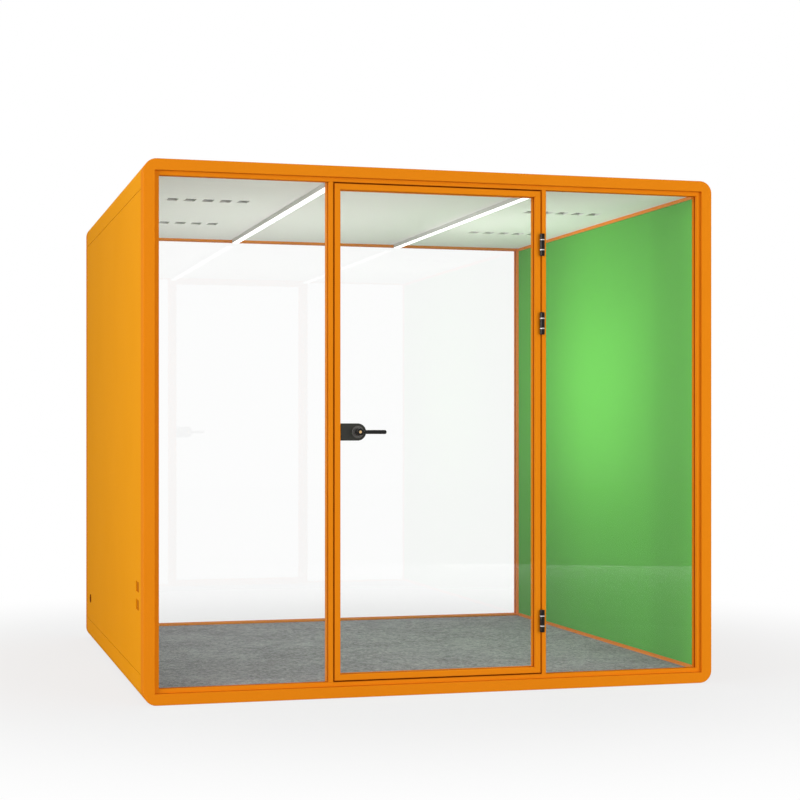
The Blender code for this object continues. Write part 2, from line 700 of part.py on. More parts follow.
def fan_blade(name, root, tip, height):
    """One twisted blade: a curved open surface given thickness, its pitch flattening outwards."""
    along, across = BLADE_PARTS
    mesh = bpy.data.meshes.new(name)
    vertices = []
    faces = []
    for i in range(along + 1):
        share = i / along
        radius = root + (tip - root) * share
        pitch = math.radians(BLADE_ROOT_PITCH + (BLADE_TIP_PITCH - BLADE_ROOT_PITCH) * share)
        full_chord = height / math.sin(math.radians(BLADE_ROOT_PITCH))
        chord = full_chord * (BLADE_ROOT_CHORD + (1.0 - BLADE_ROOT_CHORD) * share)
        for j in range(across + 1):
            offset = (j / across - 0.5) * chord
            bow = BLADE_BOW * chord * (1.0 - (2.0 * j / across - 1.0) ** 2)
            along_turn = offset * math.cos(pitch) - bow * math.sin(pitch)
            rise = offset * math.sin(pitch) + bow * math.cos(pitch)
            turn = along_turn / radius
            vertices.append((radius * math.cos(turn), radius * math.sin(turn), rise))
    for i in range(along):
        for j in range(across):
            a = i * (across + 1) + j
            faces.append((a, a + across + 1, a + across + 2, a + 1))
    mesh.from_pydata(vertices, [], faces)
    obj = bpy.data.objects.new(name, mesh)
    link(obj, cutter=True)
    solidify = obj.modifiers.new("blade", "SOLIDIFY")
    solidify.thickness = FAN_BLADE_THICKNESS
    solidify.offset = 0.0
    return obj


def build_fan(side, x, y):
    """One thin axial fan under the roof panel: a square frame with struts, and its rotor."""
    top = HEIGHT - SHEET - FIT
    bottom = top - FAN_THICKNESS
    half = FAN_SIZE / 2
    hole_offset = half - FAN_HOLE_INSET
    loops = [rounded_rectangle(x - half, y - half, x + half, y + half, FAN_STRUT, 3)]
    for a in (-1, 1):
        for b in (-1, 1):
            loops.append(circle((x + a * hole_offset, y + b * hole_offset), FAN_HOLE_RADIUS, 8))
    frame = outline(f"fan_frame_{side}", loops, bottom, top, "XY", FAN_BLACK)
    strut_high = bottom + FAN_STRUT / 2
    bore_loop = [circle((x, y), FAN_BORE_RADIUS, 28)]
    cut(frame, outline(f"fan_bore_{side}", bore_loop, strut_high, top + FAN_STRUT, "XY", cutter=True))
    window_radius = FAN_BORE_RADIUS - FAN_LEDGE
    outer_lean = math.degrees(math.asin(FAN_STRUT / 2 / window_radius))
    inner_lean = math.degrees(math.asin(FAN_STRUT / 2 / FAN_HUB_RADIUS))
    windows = []
    for start in (0, 90, 180, 270):
        window = arc((x, y), window_radius, start + outer_lean, start + 90 - outer_lean, 6)
        window += arc((x, y), FAN_HUB_RADIUS, start + 90 - inner_lean, start + inner_lean, 3)
        windows.append(window)
    low = bottom - FAN_STRUT
    cut(frame, outline(f"fan_windows_{side}", windows, low, strut_high + FIT, "XY", cutter=True))

    rotor_low = strut_high + FIT + TURNING_GAP
    rotor_high = top - 2 * TURNING_GAP
    middle = (rotor_low + rotor_high) / 2
    half_height = (rotor_high - rotor_low) / 2
    chamfer = FAN_STRUT / 4
    profile = [
        (0.0, half_height),
        (FAN_HUB_RADIUS - chamfer, half_height),
        (FAN_HUB_RADIUS, half_height - chamfer),
        (FAN_HUB_RADIUS, -half_height),
        (0.0, -half_height),
    ]
    rotor = turned(f"fan_rotor_{side}", profile, (x, y, middle), "Z", FAN_BLACK)
    root = FAN_HUB_RADIUS - 2 * FAN_BLADE_THICKNESS
    tip = FAN_BORE_RADIUS - 2 * FAN_BLADE_THICKNESS
    for number in range(FAN_BLADES):
        blade = fan_blade(f"fan_blade_{side}_{number}", root, tip, 2 * half_height * BLADE_HEIGHT_SHARE)
        blade.rotation_euler = (0.0, 0.0, math.tau * number / FAN_BLADES)
        blade.location = (x, y, middle)
        join(rotor, blade)
    axle = axis_empty(f"fan_axis_{side}", (x, y, middle))
    hang(rotor, axle)


def build_driver():
    """The light driver on the ceiling board, in its bay of the roof core."""
    length, width, height = DRIVER_SIZE
    y = REAR - DRIVER_FROM_REAR
    low = CEILING_TOP + FIT
    name = "led_driver"
    driver = box(name, (-length / 2, y - width / 2, low), (length / 2, y + width / 2, low + height), DRIVER_GREY)
    soften(driver, DRIVER_EDGE_ROUND)


def groove_box(name, left, right, low, high, glass_front):
    """The space of a pane's edge in the frame: the pane, the rubber on both faces and the clearance."""
    side = RUBBER + FIT
    near = (left - GROOVE_DEPTH, glass_front - side, low - GROOVE_DEPTH)
    far = (right + GROOVE_DEPTH, glass_front + GLASS_THICKNESS + side, high + GROOVE_DEPTH)
    return box(name, near, far, cutter=True)


def build_pane(name, left, right, low, high, glass_front, hole=None):
    """A pane and the rubber channel round its edge, for an opening between the given sides."""
    bite = GROOVE_DEPTH - RUBBER - 2 * FIT
    loops = [rectangle(left - bite, low - bite, right + bite, high + bite)]
    if hole is not None:
        loops.append(circle(hole, GLASS_HOLE_RADIUS, 24))
    pane = outline(name, loops, glass_front, glass_front + GLASS_THICKNESS, "XZ", GLASS_CLEAR)
    outer = GROOVE_DEPTH - FIT
    gasket_loops = [
        rectangle(left - outer, low - outer, right + outer, high + outer),
        rectangle(left, low, right, high),
    ]
    near = glass_front - RUBBER
    far = glass_front + GLASS_THICKNESS + RUBBER
    gasket = outline(name + "_gasket", gasket_loops, near, far, "XZ", RUBBER_BLACK)
    edge = bite + FIT
    slot_low = (left - edge, glass_front - FIT, low - edge)
    slot_high = (right + edge, glass_front + GLASS_THICKNESS + FIT, high + edge)
    cut(gasket, box(name + "_slot", slot_low, slot_high, cutter=True))
    return pane, gasket


def build_mullion(side, right):
    """A mullion between a fixed pane and the door: slim in front, reaching floor and ceiling behind."""
    inner = right * (DOOR_WIDTH / 2 + DOOR_GAP)
    outer = right * (DOOR_WIDTH / 2 + DOOR_GAP + MULLION_WIDTH)
    low_x, high_x = sorted((inner, outer))
    head = HEIGHT - WALL_LINE - FIT
    name = f"mullion_{side}"
    mullion = box(name, (low_x, FRONT_MEMBERS, WALL_LINE + FIT), (high_x, ROOM_FRONT + FIT, head), FRAME_ORANGE)
    back_low = (low_x, ROOM_FRONT, FLOOR_LEVEL + FIT)
    back_high = (high_x, MULLION_BACK, CEILING_UNDERSIDE - FIT)
    return join(mullion, box(name + "_back", back_low, back_high, cutter=True))


def build_front_glazing(front_ring):
    """The mullions, the two fixed panes with their rubber, the door stop and the door seal."""
    left_mullion = build_mullion("left", -1)
    right_mullion = build_mullion("right", 1)
    mullion_far = DOOR_WIDTH / 2 + DOOR_GAP + MULLION_WIDTH
    low = WALL_LINE
    high = HEIGHT - WALL_LINE
    for side, left, right, mullion in (
        ("left", LEFT + WALL_LINE, -mullion_far, left_mullion),
        ("right", mullion_far, -LEFT - WALL_LINE, right_mullion),
    ):
        groove = groove_box(f"{side}_groove", left, right, low, high, GLASS_FRONT)
        cut(front_ring, groove)
        cut(mullion, groove)
        build_pane(f"{side}_glass", left, right, low, high, GLASS_FRONT)

    stop_side = DOOR_WIDTH / 2 + DOOR_GAP - FIT
    stop_inner = DOOR_WIDTH / 2 - STOP_OVERLAP
    stop_loops = [
        rectangle(-stop_side, FLOOR_LEVEL + FIT, stop_side, CEILING_UNDERSIDE - FIT),
        rectangle(-stop_inner, DOOR_BOTTOM + STOP_OVERLAP, stop_inner, DOOR_TOP - STOP_OVERLAP),
    ]
    stop_front = DOOR_BACK + SEAL_THICKNESS + 2 * FIT
    outline("door_stop_frame", stop_loops, stop_front, stop_front + STOP_THICKNESS, "XZ", FRAME_ORANGE)
    margin = (STOP_OVERLAP - SEAL_WIDTH) / 2
    seal_outer = DOOR_WIDTH / 2 - margin
    seal_inner = seal_outer - SEAL_WIDTH
    seal_loops = [
        rectangle(-seal_outer, DOOR_BOTTOM + margin, seal_outer, DOOR_TOP - margin),
        rectangle(-seal_inner, DOOR_BOTTOM + margin + SEAL_WIDTH, seal_inner, DOOR_TOP - margin - SEAL_WIDTH),
    ]
    outline("door_seal", seal_loops, DOOR_BACK + FIT, DOOR_BACK + FIT + SEAL_THICKNESS, "XZ", RUBBER_BLACK)
    return left_mullion


def build_rear_glazing(rear_ring):
    """The single large pane in the rear ring."""
    left = LEFT + WALL_LINE
    low = WALL_LINE
    high = HEIGHT - WALL_LINE
    glass_front = REAR_GLASS_BACK - GLASS_THICKNESS
    cut(rear_ring, groove_box("rear_groove", left, -left, low, high, glass_front))
    build_pane("rear_glass", left, -left, low, high, glass_front)


def build_door(axle):
    """The door leaf: four mitred members round one pane."""
    shift = FIT / math.sqrt(2.0)
    left, right, low, high = DOOR_LEFT, DOOR_RIGHT, DOOR_BOTTOM, DOOR_TOP
    member = DOOR_MEMBER
    members = {
        "door_lock_stile": [
            (left, low + shift), (left + member, low + member + shift),
            (left + member, high - member - shift), (left, high - shift),
        ],
        "door_hinge_stile": [
            (right, low + shift), (right, high - shift),
            (right - member, high - member - shift), (right - member, low + member + shift),
        ],
        "door_top_rail": [
            (left + shift, high), (left + member + shift, high - member),
            (right - member - shift, high - member), (right - shift, high),
        ],
        "door_bottom_rail": [
            (left + shift, low), (right - shift, low),
            (right - member - shift, low + member), (left + member + shift, low + member),
        ],
    }
    opening = (left + member, right - member, low + member, high - member)
    groove = groove_box("door_groove", *opening, GLASS_FRONT)
    pieces = {}
    for name, corners in members.items():
        piece = outline(name, [corners], FRONT_MEMBERS, DOOR_BACK, "XZ", FRAME_ORANGE)
        cut(piece, groove)
        pieces[name] = piece
    pane, gasket = build_pane("door_glass", *opening, GLASS_FRONT, (LOCK_X, LOCK_LEVEL))
    for piece in (*pieces.values(), pane, gasket):
        hang(piece, axle)
    return pieces["door_lock_stile"]


def build_hinge(place_name, level, axle):
    """A three-knuckle barrel hinge: fixed leaf with pin and collars, and the door's leaf on the pin."""
    half = HINGE_HEIGHT / 2
    knuckle_end = half - END_KNUCKLE
    collar_end = knuckle_end - COLLAR_HEIGHT
    collar = BARREL_RADIUS - COLLAR_SHRINK
    chamfer = BARREL_CHAMFER
    upper = [
        (0.0, half),
        (BARREL_RADIUS - chamfer, half),
        (BARREL_RADIUS, half - chamfer),
        (BARREL_RADIUS, knuckle_end),
        (collar, knuckle_end),
        (collar, collar_end),
        (PIN_RADIUS, collar_end),
    ]
    profile = upper + [(radius, -height) for radius, height in reversed(upper)]
    place = (HINGE_X, HINGE_Y, level)
    fixed = turned(f"hinge_frame_{place_name}", profile, place, "Z", GUNMETAL)
    leaf_front = HINGE_Y + BARREL_RADIUS / 2
    leaf_rear = FRONT_MEMBERS + LEAF_REACH
    leaf_half = half - 2 * chamfer
    leaf_near = DOOR_GAP / 2 - FIT - LEAF_THICKNESS
    leaf_far = DOOR_GAP / 2 - FIT
    fixed_low = (HINGE_X + leaf_near, leaf_front, level - leaf_half)
    fixed_high = (HINGE_X + leaf_far, leaf_rear, level + leaf_half)
    notch_reach = HINGE_Y + BARREL_RADIUS + TURNING_GAP
    leaf = box(f"hinge_leaf_{place_name}", fixed_low, fixed_high, cutter=True)
    notch_half = collar_end + FIT
    notch_low = (HINGE_X - BARREL_RADIUS, HINGE_Y - BARREL_RADIUS, level - notch_half)
    notch_high = (HINGE_X + BARREL_RADIUS, notch_reach, level + notch_half)
    cut(leaf, box(f"hinge_notch_{place_name}", notch_low, notch_high, cutter=True))
    join(fixed, leaf)

    moving_half = collar_end - TURNING_GAP
    bore = PIN_RADIUS + TURNING_GAP
    bore_profile = [
        (BARREL_RADIUS, moving_half),
        (BARREL_RADIUS, -moving_half),
        (bore, -moving_half),
        (bore, moving_half),
    ]
    moving = turned(f"hinge_door_{place_name}", bore_profile, place, "Z", GUNMETAL)
    plate_low = (HINGE_X - leaf_far, notch_reach + TURNING_GAP, level - leaf_half)
    plate_high = (HINGE_X - leaf_near, leaf_rear, level + leaf_half)
    tab_half = moving_half - FIT
    tab_low = (HINGE_X - leaf_far, HINGE_Y + BARREL_RADIUS / 2, level - tab_half)
    tab_high = (HINGE_X - leaf_near, notch_reach + 2 * TURNING_GAP, level + tab_half)
    join(moving, box(f"hinge_tab_{place_name}", tab_low, tab_high, cutter=True))
    join(moving, box(f"hinge_plate_{place_name}", plate_low, plate_high, cutter=True))
    hang(moving, axle)


def lock_outline():
    """The lock's outline: small corners beside the stile, a half circle at the other end."""
    low = LOCK_LEVEL - LOCK_HEIGHT / 2
    high = LOCK_LEVEL + LOCK_HEIGHT / 2
    corner = LOCK_CORNER
    points = arc((LOCK_LEFT + corner, low + corner), corner, 180, 270, 3)
    points += arc((LOCK_X, LOCK_LEVEL), LOCK_HEIGHT / 2, -90, 90, 20)
    points += arc((LOCK_LEFT + corner, high - corner), corner, 90, 180, 3)
    return points


def build_lock(axle, lever_axle, key_axle, stile, mullion):
    """The lock on the door's pane: two cases, lever pair, cylinder, latch and strike."""
    centre = (LOCK_X, LOCK_LEVEL)
    outline_points = lock_outline()
    front_case = outline(
        "lock_case_outside", [outline_points], LOCK_FACE, LOCK_FACE + LOCK_FRONT_THICKNESS, "XZ", LOCK_BLACK
    )
    soften(front_case, LOCK_EDGE_ROUND)
    rose_profile = [
        (0.0, LOCK_FRONT_THICKNESS / 2),
        (ROSE_RADIUS, LOCK_FRONT_THICKNESS / 2),
        (ROSE_RADIUS, -ROSE_HEIGHT / 2),
        (ROSE_RADIUS - ROSE_HEIGHT / 2, -ROSE_HEIGHT),
        (0.0, -ROSE_HEIGHT),
    ]
    face_place = (LOCK_X, LOCK_FACE, LOCK_LEVEL)
    join(front_case, turned("lock_rose", rose_profile, face_place, "Y", cutter=True, steps=32))
    hub_hole = HUB_RADIUS + TURNING_GAP
    hub_seat = LOCK_FRONT_THICKNESS - HUB_SEAT_WALL
    bore_profile = [
        (0.0, LOCK_FRONT_THICKNESS + ROSE_HEIGHT),
        (SPINDLE_RADIUS + TURNING_GAP, LOCK_FRONT_THICKNESS + ROSE_HEIGHT),
        (SPINDLE_RADIUS + TURNING_GAP, hub_seat),
        (hub_hole, hub_seat),
        (hub_hole, -2 * ROSE_HEIGHT),
        (0.0, -2 * ROSE_HEIGHT),
    ]
    cut(front_case, turned("lock_front_bore", bore_profile, face_place, "Y", cutter=True))

    back_low = GLASS_BACK + FIT
    back_case = outline("lock_case_inside", [outline_points], back_low, LOCK_BACK_FACE, "XZ", LOCK_BLACK)
    soften(back_case, LOCK_EDGE_ROUND)
    latch_half = LATCH_THICKNESS / 2 + TURNING_GAP
    draw_room = LATCH_DRAW + TURNING_GAP
    channel_height = LATCH_HEIGHT / 2 + TURNING_GAP
    body_end = LOCK_X - CAM_RADIUS - LATCH_DRAW - 4 * TURNING_GAP
    channel_low = (LOCK_LEFT - SEAM, LATCH_Y - latch_half, LOCK_LEVEL - channel_height)
    channel_high = (body_end + draw_room, LATCH_Y + latch_half, LOCK_LEVEL + channel_height)
    cut(back_case, box("latch_channel", channel_low, channel_high, cutter=True))
    tail_low_z = CAM_RADIUS - LATCH_TAIL_HEIGHT
    tail_high_z = CAM_RADIUS + LATCH_TAIL_HEIGHT
    chamber_profile = [
        (0.0, latch_half),
        (CAM_RADIUS + 2 * TURNING_GAP, latch_half),
        (CAM_RADIUS + 2 * TURNING_GAP, -latch_half),
        (0.0, -latch_half),
    ]
    chamber_place = (LOCK_X, LATCH_Y, LOCK_LEVEL)
    cut(back_case, turned("cam_chamber", chamber_profile, chamber_place, "Y", cutter=True))
    tail_end = LOCK_X + CAM_WIDTH / 2 + LATCH_SLACK + TOOTH_LENGTH
    tail_half = LATCH_TAIL_THICKNESS / 2
    run_low = (body_end - TOOTH_LENGTH, LATCH_Y - latch_half, LOCK_LEVEL)
    run_high = (tail_end + draw_room, LATCH_Y + latch_half, LOCK_LEVEL + tail_high_z + TURNING_GAP)
    cut(back_case, box("tail_channel", run_low, run_high, cutter=True))
    spindle_hole = SPINDLE_RADIUS + TURNING_GAP
    through = LOCK_BACK_THICKNESS
    through_profile = [(0.0, through), (spindle_hole, through), (spindle_hole, -through), (0.0, -through)]
    cut(back_case, turned("lock_back_bore", through_profile, chamber_place, "Y", cutter=True))

    hub_face = FRONT - HUB_FRONT
    hub_back = LOCK_FACE + hub_seat - TURNING_GAP
    spindle_end = LOCK_BACK_FACE + HUB_LENGTH_INSIDE / 2
    place = (LOCK_X, hub_face, LOCK_LEVEL)
    plug_hole = PLUG_RADIUS + TURNING_GAP
    hub_profile = [
        (SPINDLE_BORE, spindle_end - hub_face),
        (SPINDLE_RADIUS, spindle_end - hub_face),
        (SPINDLE_RADIUS, hub_back - hub_face),
        (HUB_RADIUS, hub_back - hub_face),
        (HUB_RADIUS, HUB_EDGE_ROUND),
        (HUB_RADIUS - HUB_EDGE_ROUND, 0.0),
        (plug_hole, 0.0),
        (plug_hole, PLUG_LENGTH + TURNING_GAP),
        (SPINDLE_BORE, PLUG_LENGTH + TURNING_GAP),
    ]
    outside = turned("outside_lever", hub_profile, place, "Y", LOCK_BLACK)
    join(outside, lever_bar("outside_bar", hub_face + LEVER_DROP_FROM_FACE))
    cam_half = LATCH_THICKNESS / 2 - TURNING_GAP
    cam_low = (LOCK_X - CAM_WIDTH / 2, LATCH_Y - cam_half, LOCK_LEVEL + SPINDLE_RADIUS - SPINDLE_BORE / 2)
    cam_high = (LOCK_X + CAM_WIDTH / 2, LATCH_Y + cam_half, LOCK_LEVEL + CAM_RADIUS)
    join(outside, box("lever_cam", cam_low, cam_high, cutter=True))

    inner_start = LOCK_BACK_FACE + TURNING_GAP
    inner_face = inner_start + HUB_LENGTH_INSIDE
    inner_place = (LOCK_X, inner_start, LOCK_LEVEL)
    socket = spindle_end - inner_start + TURNING_GAP
    inside_profile = [
        (plug_hole, HUB_LENGTH_INSIDE),
        (HUB_RADIUS - HUB_EDGE_ROUND, HUB_LENGTH_INSIDE),
        (HUB_RADIUS, HUB_LENGTH_INSIDE - HUB_EDGE_ROUND),
        (HUB_RADIUS, 0.0),
        (SPINDLE_RADIUS + FIT, 0.0),
        (SPINDLE_RADIUS + FIT, socket),
        (plug_hole, socket),
    ]
    inside = turned("inside_lever", inside_profile, inner_place, "Y", LOCK_BLACK)
    join(inside, lever_bar("inside_bar", inner_face - LEVER_DROP_FROM_FACE))

    stem_start = spindle_end + 2 * TURNING_GAP
    turn_base = inner_face + TURNING_GAP
    cylinder_profile = [
        (0.0, turn_base + TURN_HEIGHT / 2 - hub_face),
        (PLUG_RADIUS, turn_base + TURN_HEIGHT / 2 - hub_face),
        (PLUG_RADIUS, stem_start - hub_face),
        (TAIL_RADIUS, stem_start - hub_face),
        (TAIL_RADIUS, PLUG_LENGTH),
        (PLUG_RADIUS, PLUG_LENGTH),
        (PLUG_RADIUS, PLUG_SETBACK),
        (0.0, PLUG_SETBACK),
    ]
    cylinder = turned("key_cylinder", cylinder_profile, place, "Y", BRASS)
    turn_low = (LOCK_X - TURN_THICKNESS / 2, turn_base, LOCK_LEVEL - TURN_LENGTH / 2)
    turn_high = (LOCK_X + TURN_THICKNESS / 2, turn_base + TURN_HEIGHT, LOCK_LEVEL + TURN_LENGTH / 2)
    join(cylinder, box("turn_paddle", turn_low, turn_high, cutter=True))
    keyway_low = (LOCK_X - KEYWAY_WIDTH / 2, hub_face - KEYWAY_DEPTH, LOCK_LEVEL - KEYWAY_HEIGHT / 2)
    keyway_high = (LOCK_X + KEYWAY_WIDTH / 2, hub_face + KEYWAY_DEPTH, LOCK_LEVEL + KEYWAY_HEIGHT / 2)
    cut(cylinder, box("keyway", keyway_low, keyway_high, cutter=True))

    nose = DOOR_LEFT - LATCH_SHOW
    thick = LATCH_THICKNESS / 2
    bevel = LATCH_NOSE_CUT
    plan = [
        (nose, LATCH_Y - thick), (body_end, LATCH_Y - thick), (body_end, LATCH_Y + thick),
        (nose + bevel, LATCH_Y + thick), (nose, LATCH_Y + thick - bevel),
    ]
    latch_low = LOCK_LEVEL - LATCH_HEIGHT / 2
    latch = outline("latch_bolt", [plan], latch_low, latch_low + LATCH_HEIGHT, "XY", STEEL)
    arm_low = (body_end - TOOTH_LENGTH, LATCH_Y - tail_half, LOCK_LEVEL + CAM_RADIUS + TURNING_GAP)
    arm_high = (tail_end, LATCH_Y + tail_half, LOCK_LEVEL + tail_high_z)
    tooth_low = (tail_end - TOOTH_LENGTH, LATCH_Y - tail_half, LOCK_LEVEL + tail_low_z + 2 * TURNING_GAP)
    riser_low = (body_end - TOOTH_LENGTH, LATCH_Y - tail_half, LOCK_LEVEL)
    riser_high = (body_end - FIT, LATCH_Y + tail_half, LOCK_LEVEL + tail_high_z - FIT)
    join(latch, box("latch_riser", riser_low, riser_high, cutter=True))
    join(latch, box("latch_arm", arm_low, arm_high, cutter=True))
    tooth_high = (tail_end - FIT, LATCH_Y + tail_half - FIT, LOCK_LEVEL + tail_high_z - FIT)
    join(latch, box("latch_tooth", tooth_low, tooth_high, cutter=True))

    bore_low = (DOOR_LEFT - SEAM, LATCH_Y - latch_half, LOCK_LEVEL - channel_height)
    bore_high = (DOOR_LEFT + DOOR_MEMBER + SEAM, LATCH_Y + latch_half, LOCK_LEVEL + channel_height)
    cut(stile, box("stile_bore", bore_low, bore_high, cutter=True))
    build_strike(mullion, channel_height, latch_half)

    hang(lever_axle, axle)
    hang(key_axle, lever_axle)
    for piece in (front_case, back_case, latch):
        hang(piece, axle)
    hang(outside, lever_axle)
    hang(inside, lever_axle)
    hang(cylinder, key_axle)


def lever_bar(name, y):
    """The round bar of a lever, with a domed tip, from inside the hub's wall outwards."""
    dome = arc((0.0, LEVER_REACH - LEVER_RADIUS), LEVER_RADIUS, 90, 0, 6)
    profile = [(radius, height) for radius, height in dome]
    profile[0] = (0.0, LEVER_REACH)
    root = (PLUG_RADIUS + HUB_RADIUS) / 2
    profile += [(LEVER_RADIUS, root), (0.0, root)]
    return turned(name, profile, (LOCK_X, y, LOCK_LEVEL), "X", cutter=True, steps=20)


def build_strike(mullion, channel_height, latch_half):
    """The strike plate let into the left mullion, with the pocket behind it."""
    face = DOOR_LEFT - DOOR_GAP
    half_width = STRIKE_WIDTH / 2
    half_height = STRIKE_HEIGHT / 2
    seat_low = (face - STRIKE_THICKNESS - FIT, LATCH_Y - half_width - FIT, LOCK_LEVEL - half_height - FIT)
    seat_high = (face + SEAM, LATCH_Y + half_width + FIT, LOCK_LEVEL + half_height + FIT)
    cut(mullion, box("strike_seat", seat_low, seat_high, cutter=True))
    pocket_depth = LATCH_THICKNESS / 2
    mouth_half_y = latch_half + STRIKE_MARGIN
    mouth_half_z = channel_height + STRIKE_MARGIN
    pocket_low = (face - STRIKE_THICKNESS - pocket_depth, LATCH_Y - mouth_half_y, LOCK_LEVEL - mouth_half_z)
    pocket_high = (face + SEAM, LATCH_Y + mouth_half_y, LOCK_LEVEL + mouth_half_z)
    cut(mullion, box("strike_pocket", pocket_low, pocket_high, cutter=True))
    loops = [
        [(a + LATCH_Y, b + LOCK_LEVEL) for a, b in rounded_rectangle(-half_width, -half_height, half_width,
                                                                       half_height, STRIKE_MARGIN, 2)],
        rectangle(LATCH_Y - mouth_half_y, LOCK_LEVEL - mouth_half_z, LATCH_Y + mouth_half_y, LOCK_LEVEL + mouth_half_z),
    ]
    outline("strike_plate", loops, face - STRIKE_THICKNESS, face, "YZ", STEEL)


def build_pod():
    """Build every piece of the pod."""
    front_ring = build_ring("front_ring", FRONT, 1, FRONT_RING_DEPTH, FRONT_REVEAL_DEPTH)
    rear_ring = build_ring("rear_ring", REAR, -1, REAR_RING_DEPTH, REAR_REVEAL_DEPTH)
    build_rails()
    build_roof()
    build_floor()
    left_panel, left_core = build_side("left", -1)
    build_side("right", 1)
    build_intakes(left_panel, left_core)
    build_grommet(left_panel, left_core)
    build_ceiling()
    build_lights()
    for side, x, y in fan_centres():
        build_fan(side, x, y)
    build_driver()
    left_mullion = build_front_glazing(front_ring)
    build_rear_glazing(rear_ring)
    door_axle = axis_empty("door_axis", (HINGE_X, HINGE_Y, HEIGHT / 2))
    lever_axle = axis_empty("lever_axis", (LOCK_X, LOCK_FACE, LOCK_LEVEL))
    key_axle = axis_empty("key_axis", (LOCK_X, LOCK_FACE, LOCK_LEVEL))
    lock_stile = build_door(door_axle)
    for place_name, level in HINGE_LEVELS.items():
        build_hinge(place_name, level, door_axle)
    build_lock(door_axle, lever_axle, key_axle, lock_stile, left_mullion)
    soften(front_ring, RIM_EDGE_ROUND, 1)
    soften(rear_ring, RIM_EDGE_ROUND, 1)
    bpy.context.view_layer.update()


clear_scene()
PARTS = new_collection(COLLECTION_NAME)
CUTTERS = new_collection(CUTTER_COLLECTION_NAME)
build_pod()
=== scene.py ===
"""Looks of the acoustic work pod: finishes for every part, smooth surfaces, studio and camera.

Everything is in metres in the row frame: the origin is the centre of the footprint at floor
level, +X runs to the right seen from the front, the glazed front faces -Y and +Z is up.
"""
from __future__ import annotations

import logging
import math
from contextlib import contextmanager
from dataclasses import dataclass, field, replace
from enum import Enum
from typing import Iterator, Sequence

import bmesh
import bpy
import numpy as np
from bpy.types import BevelModifier, Material, Mesh, Node, NodeSocket, NodeTree, Object
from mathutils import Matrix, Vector


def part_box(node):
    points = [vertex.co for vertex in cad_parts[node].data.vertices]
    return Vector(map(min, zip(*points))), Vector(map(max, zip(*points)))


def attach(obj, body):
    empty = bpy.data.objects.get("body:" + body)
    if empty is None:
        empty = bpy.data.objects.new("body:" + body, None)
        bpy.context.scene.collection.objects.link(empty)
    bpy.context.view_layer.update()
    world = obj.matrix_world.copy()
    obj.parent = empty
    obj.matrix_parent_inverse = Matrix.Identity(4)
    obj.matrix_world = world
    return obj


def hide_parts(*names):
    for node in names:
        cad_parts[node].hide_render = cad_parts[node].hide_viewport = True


LOG = logging.getLogger("acoustic_work_pod")
WHITE = (1.0, 1.0, 1.0, 1.0)
# NEARLY_SHARP is a radius. Radii, edges and welds are in metres, LEAST_TURN and FLAT_TURN in
# radians, and TURNED_SHARP and SHARP_UNROUNDED in degrees.
NEARLY_ZERO = 1e-12
LEAST_TURN = 1e-6
NEARLY_SHARP = 1e-7
WELD = 1e-6
CAD_WELD = 1e-5
FLAT_TURN = math.radians(0.3)
TURNED_SHARP = 40.0
SHARP_UNROUNDED = 50.0
PANE_EDGE = 0.0008
RUBBER_EDGE = 0.0004
MEMBER_EDGE = 0.0005

Array = np.ndarray
Colour = tuple[float, float, float]
Pair = tuple[float, float]
Point = tuple[float, float, float]


class Axis(Enum):
    """A row axis, with the two axes across it in right-hand order."""

    X = (0, 1, 2)
    Y = (1, 2, 0)
    Z = (2, 0, 1)


class Pattern(Enum):
    """The shader node groups that carry the surface patterns."""

    PAINT = "paint_peel"
    FIBRE = "felt_fibre"
    PILE = "loop_pile"
    DRAWN = "drawn_lines"
    CHIPS = "pressed_chips"


class Body(Enum):
    """The moving bodies of the pod."""

    SHELL = "shell"
    DOOR = "door"
    LEVERS = "lever_set"
    KEY = "key_core"
    LATCH = "latch"
    LEFT_FAN = "left_fan"
    RIGHT_FAN = "right_fan"


def srgb(red: int, green: int, blue: int) -> Colour:
    """Linear colour from screen values.

    Args:
        red, green, blue: screen values from 0 to 255.

    Returns:
        The colour in linear light: below 0.04045 the value over 12.92, else the 2.4 power curve.
    """
    values = np.array([red, green, blue]) / 255.0
    linear = np.where(values <= 0.04045, values / 12.92, ((values + 0.055) / 1.055) ** 2.4)
    return tuple(float(value) for value in linear)


def even(value: float) -> Point:
    """The same value along X, Y and Z."""
    return (value, value, value)


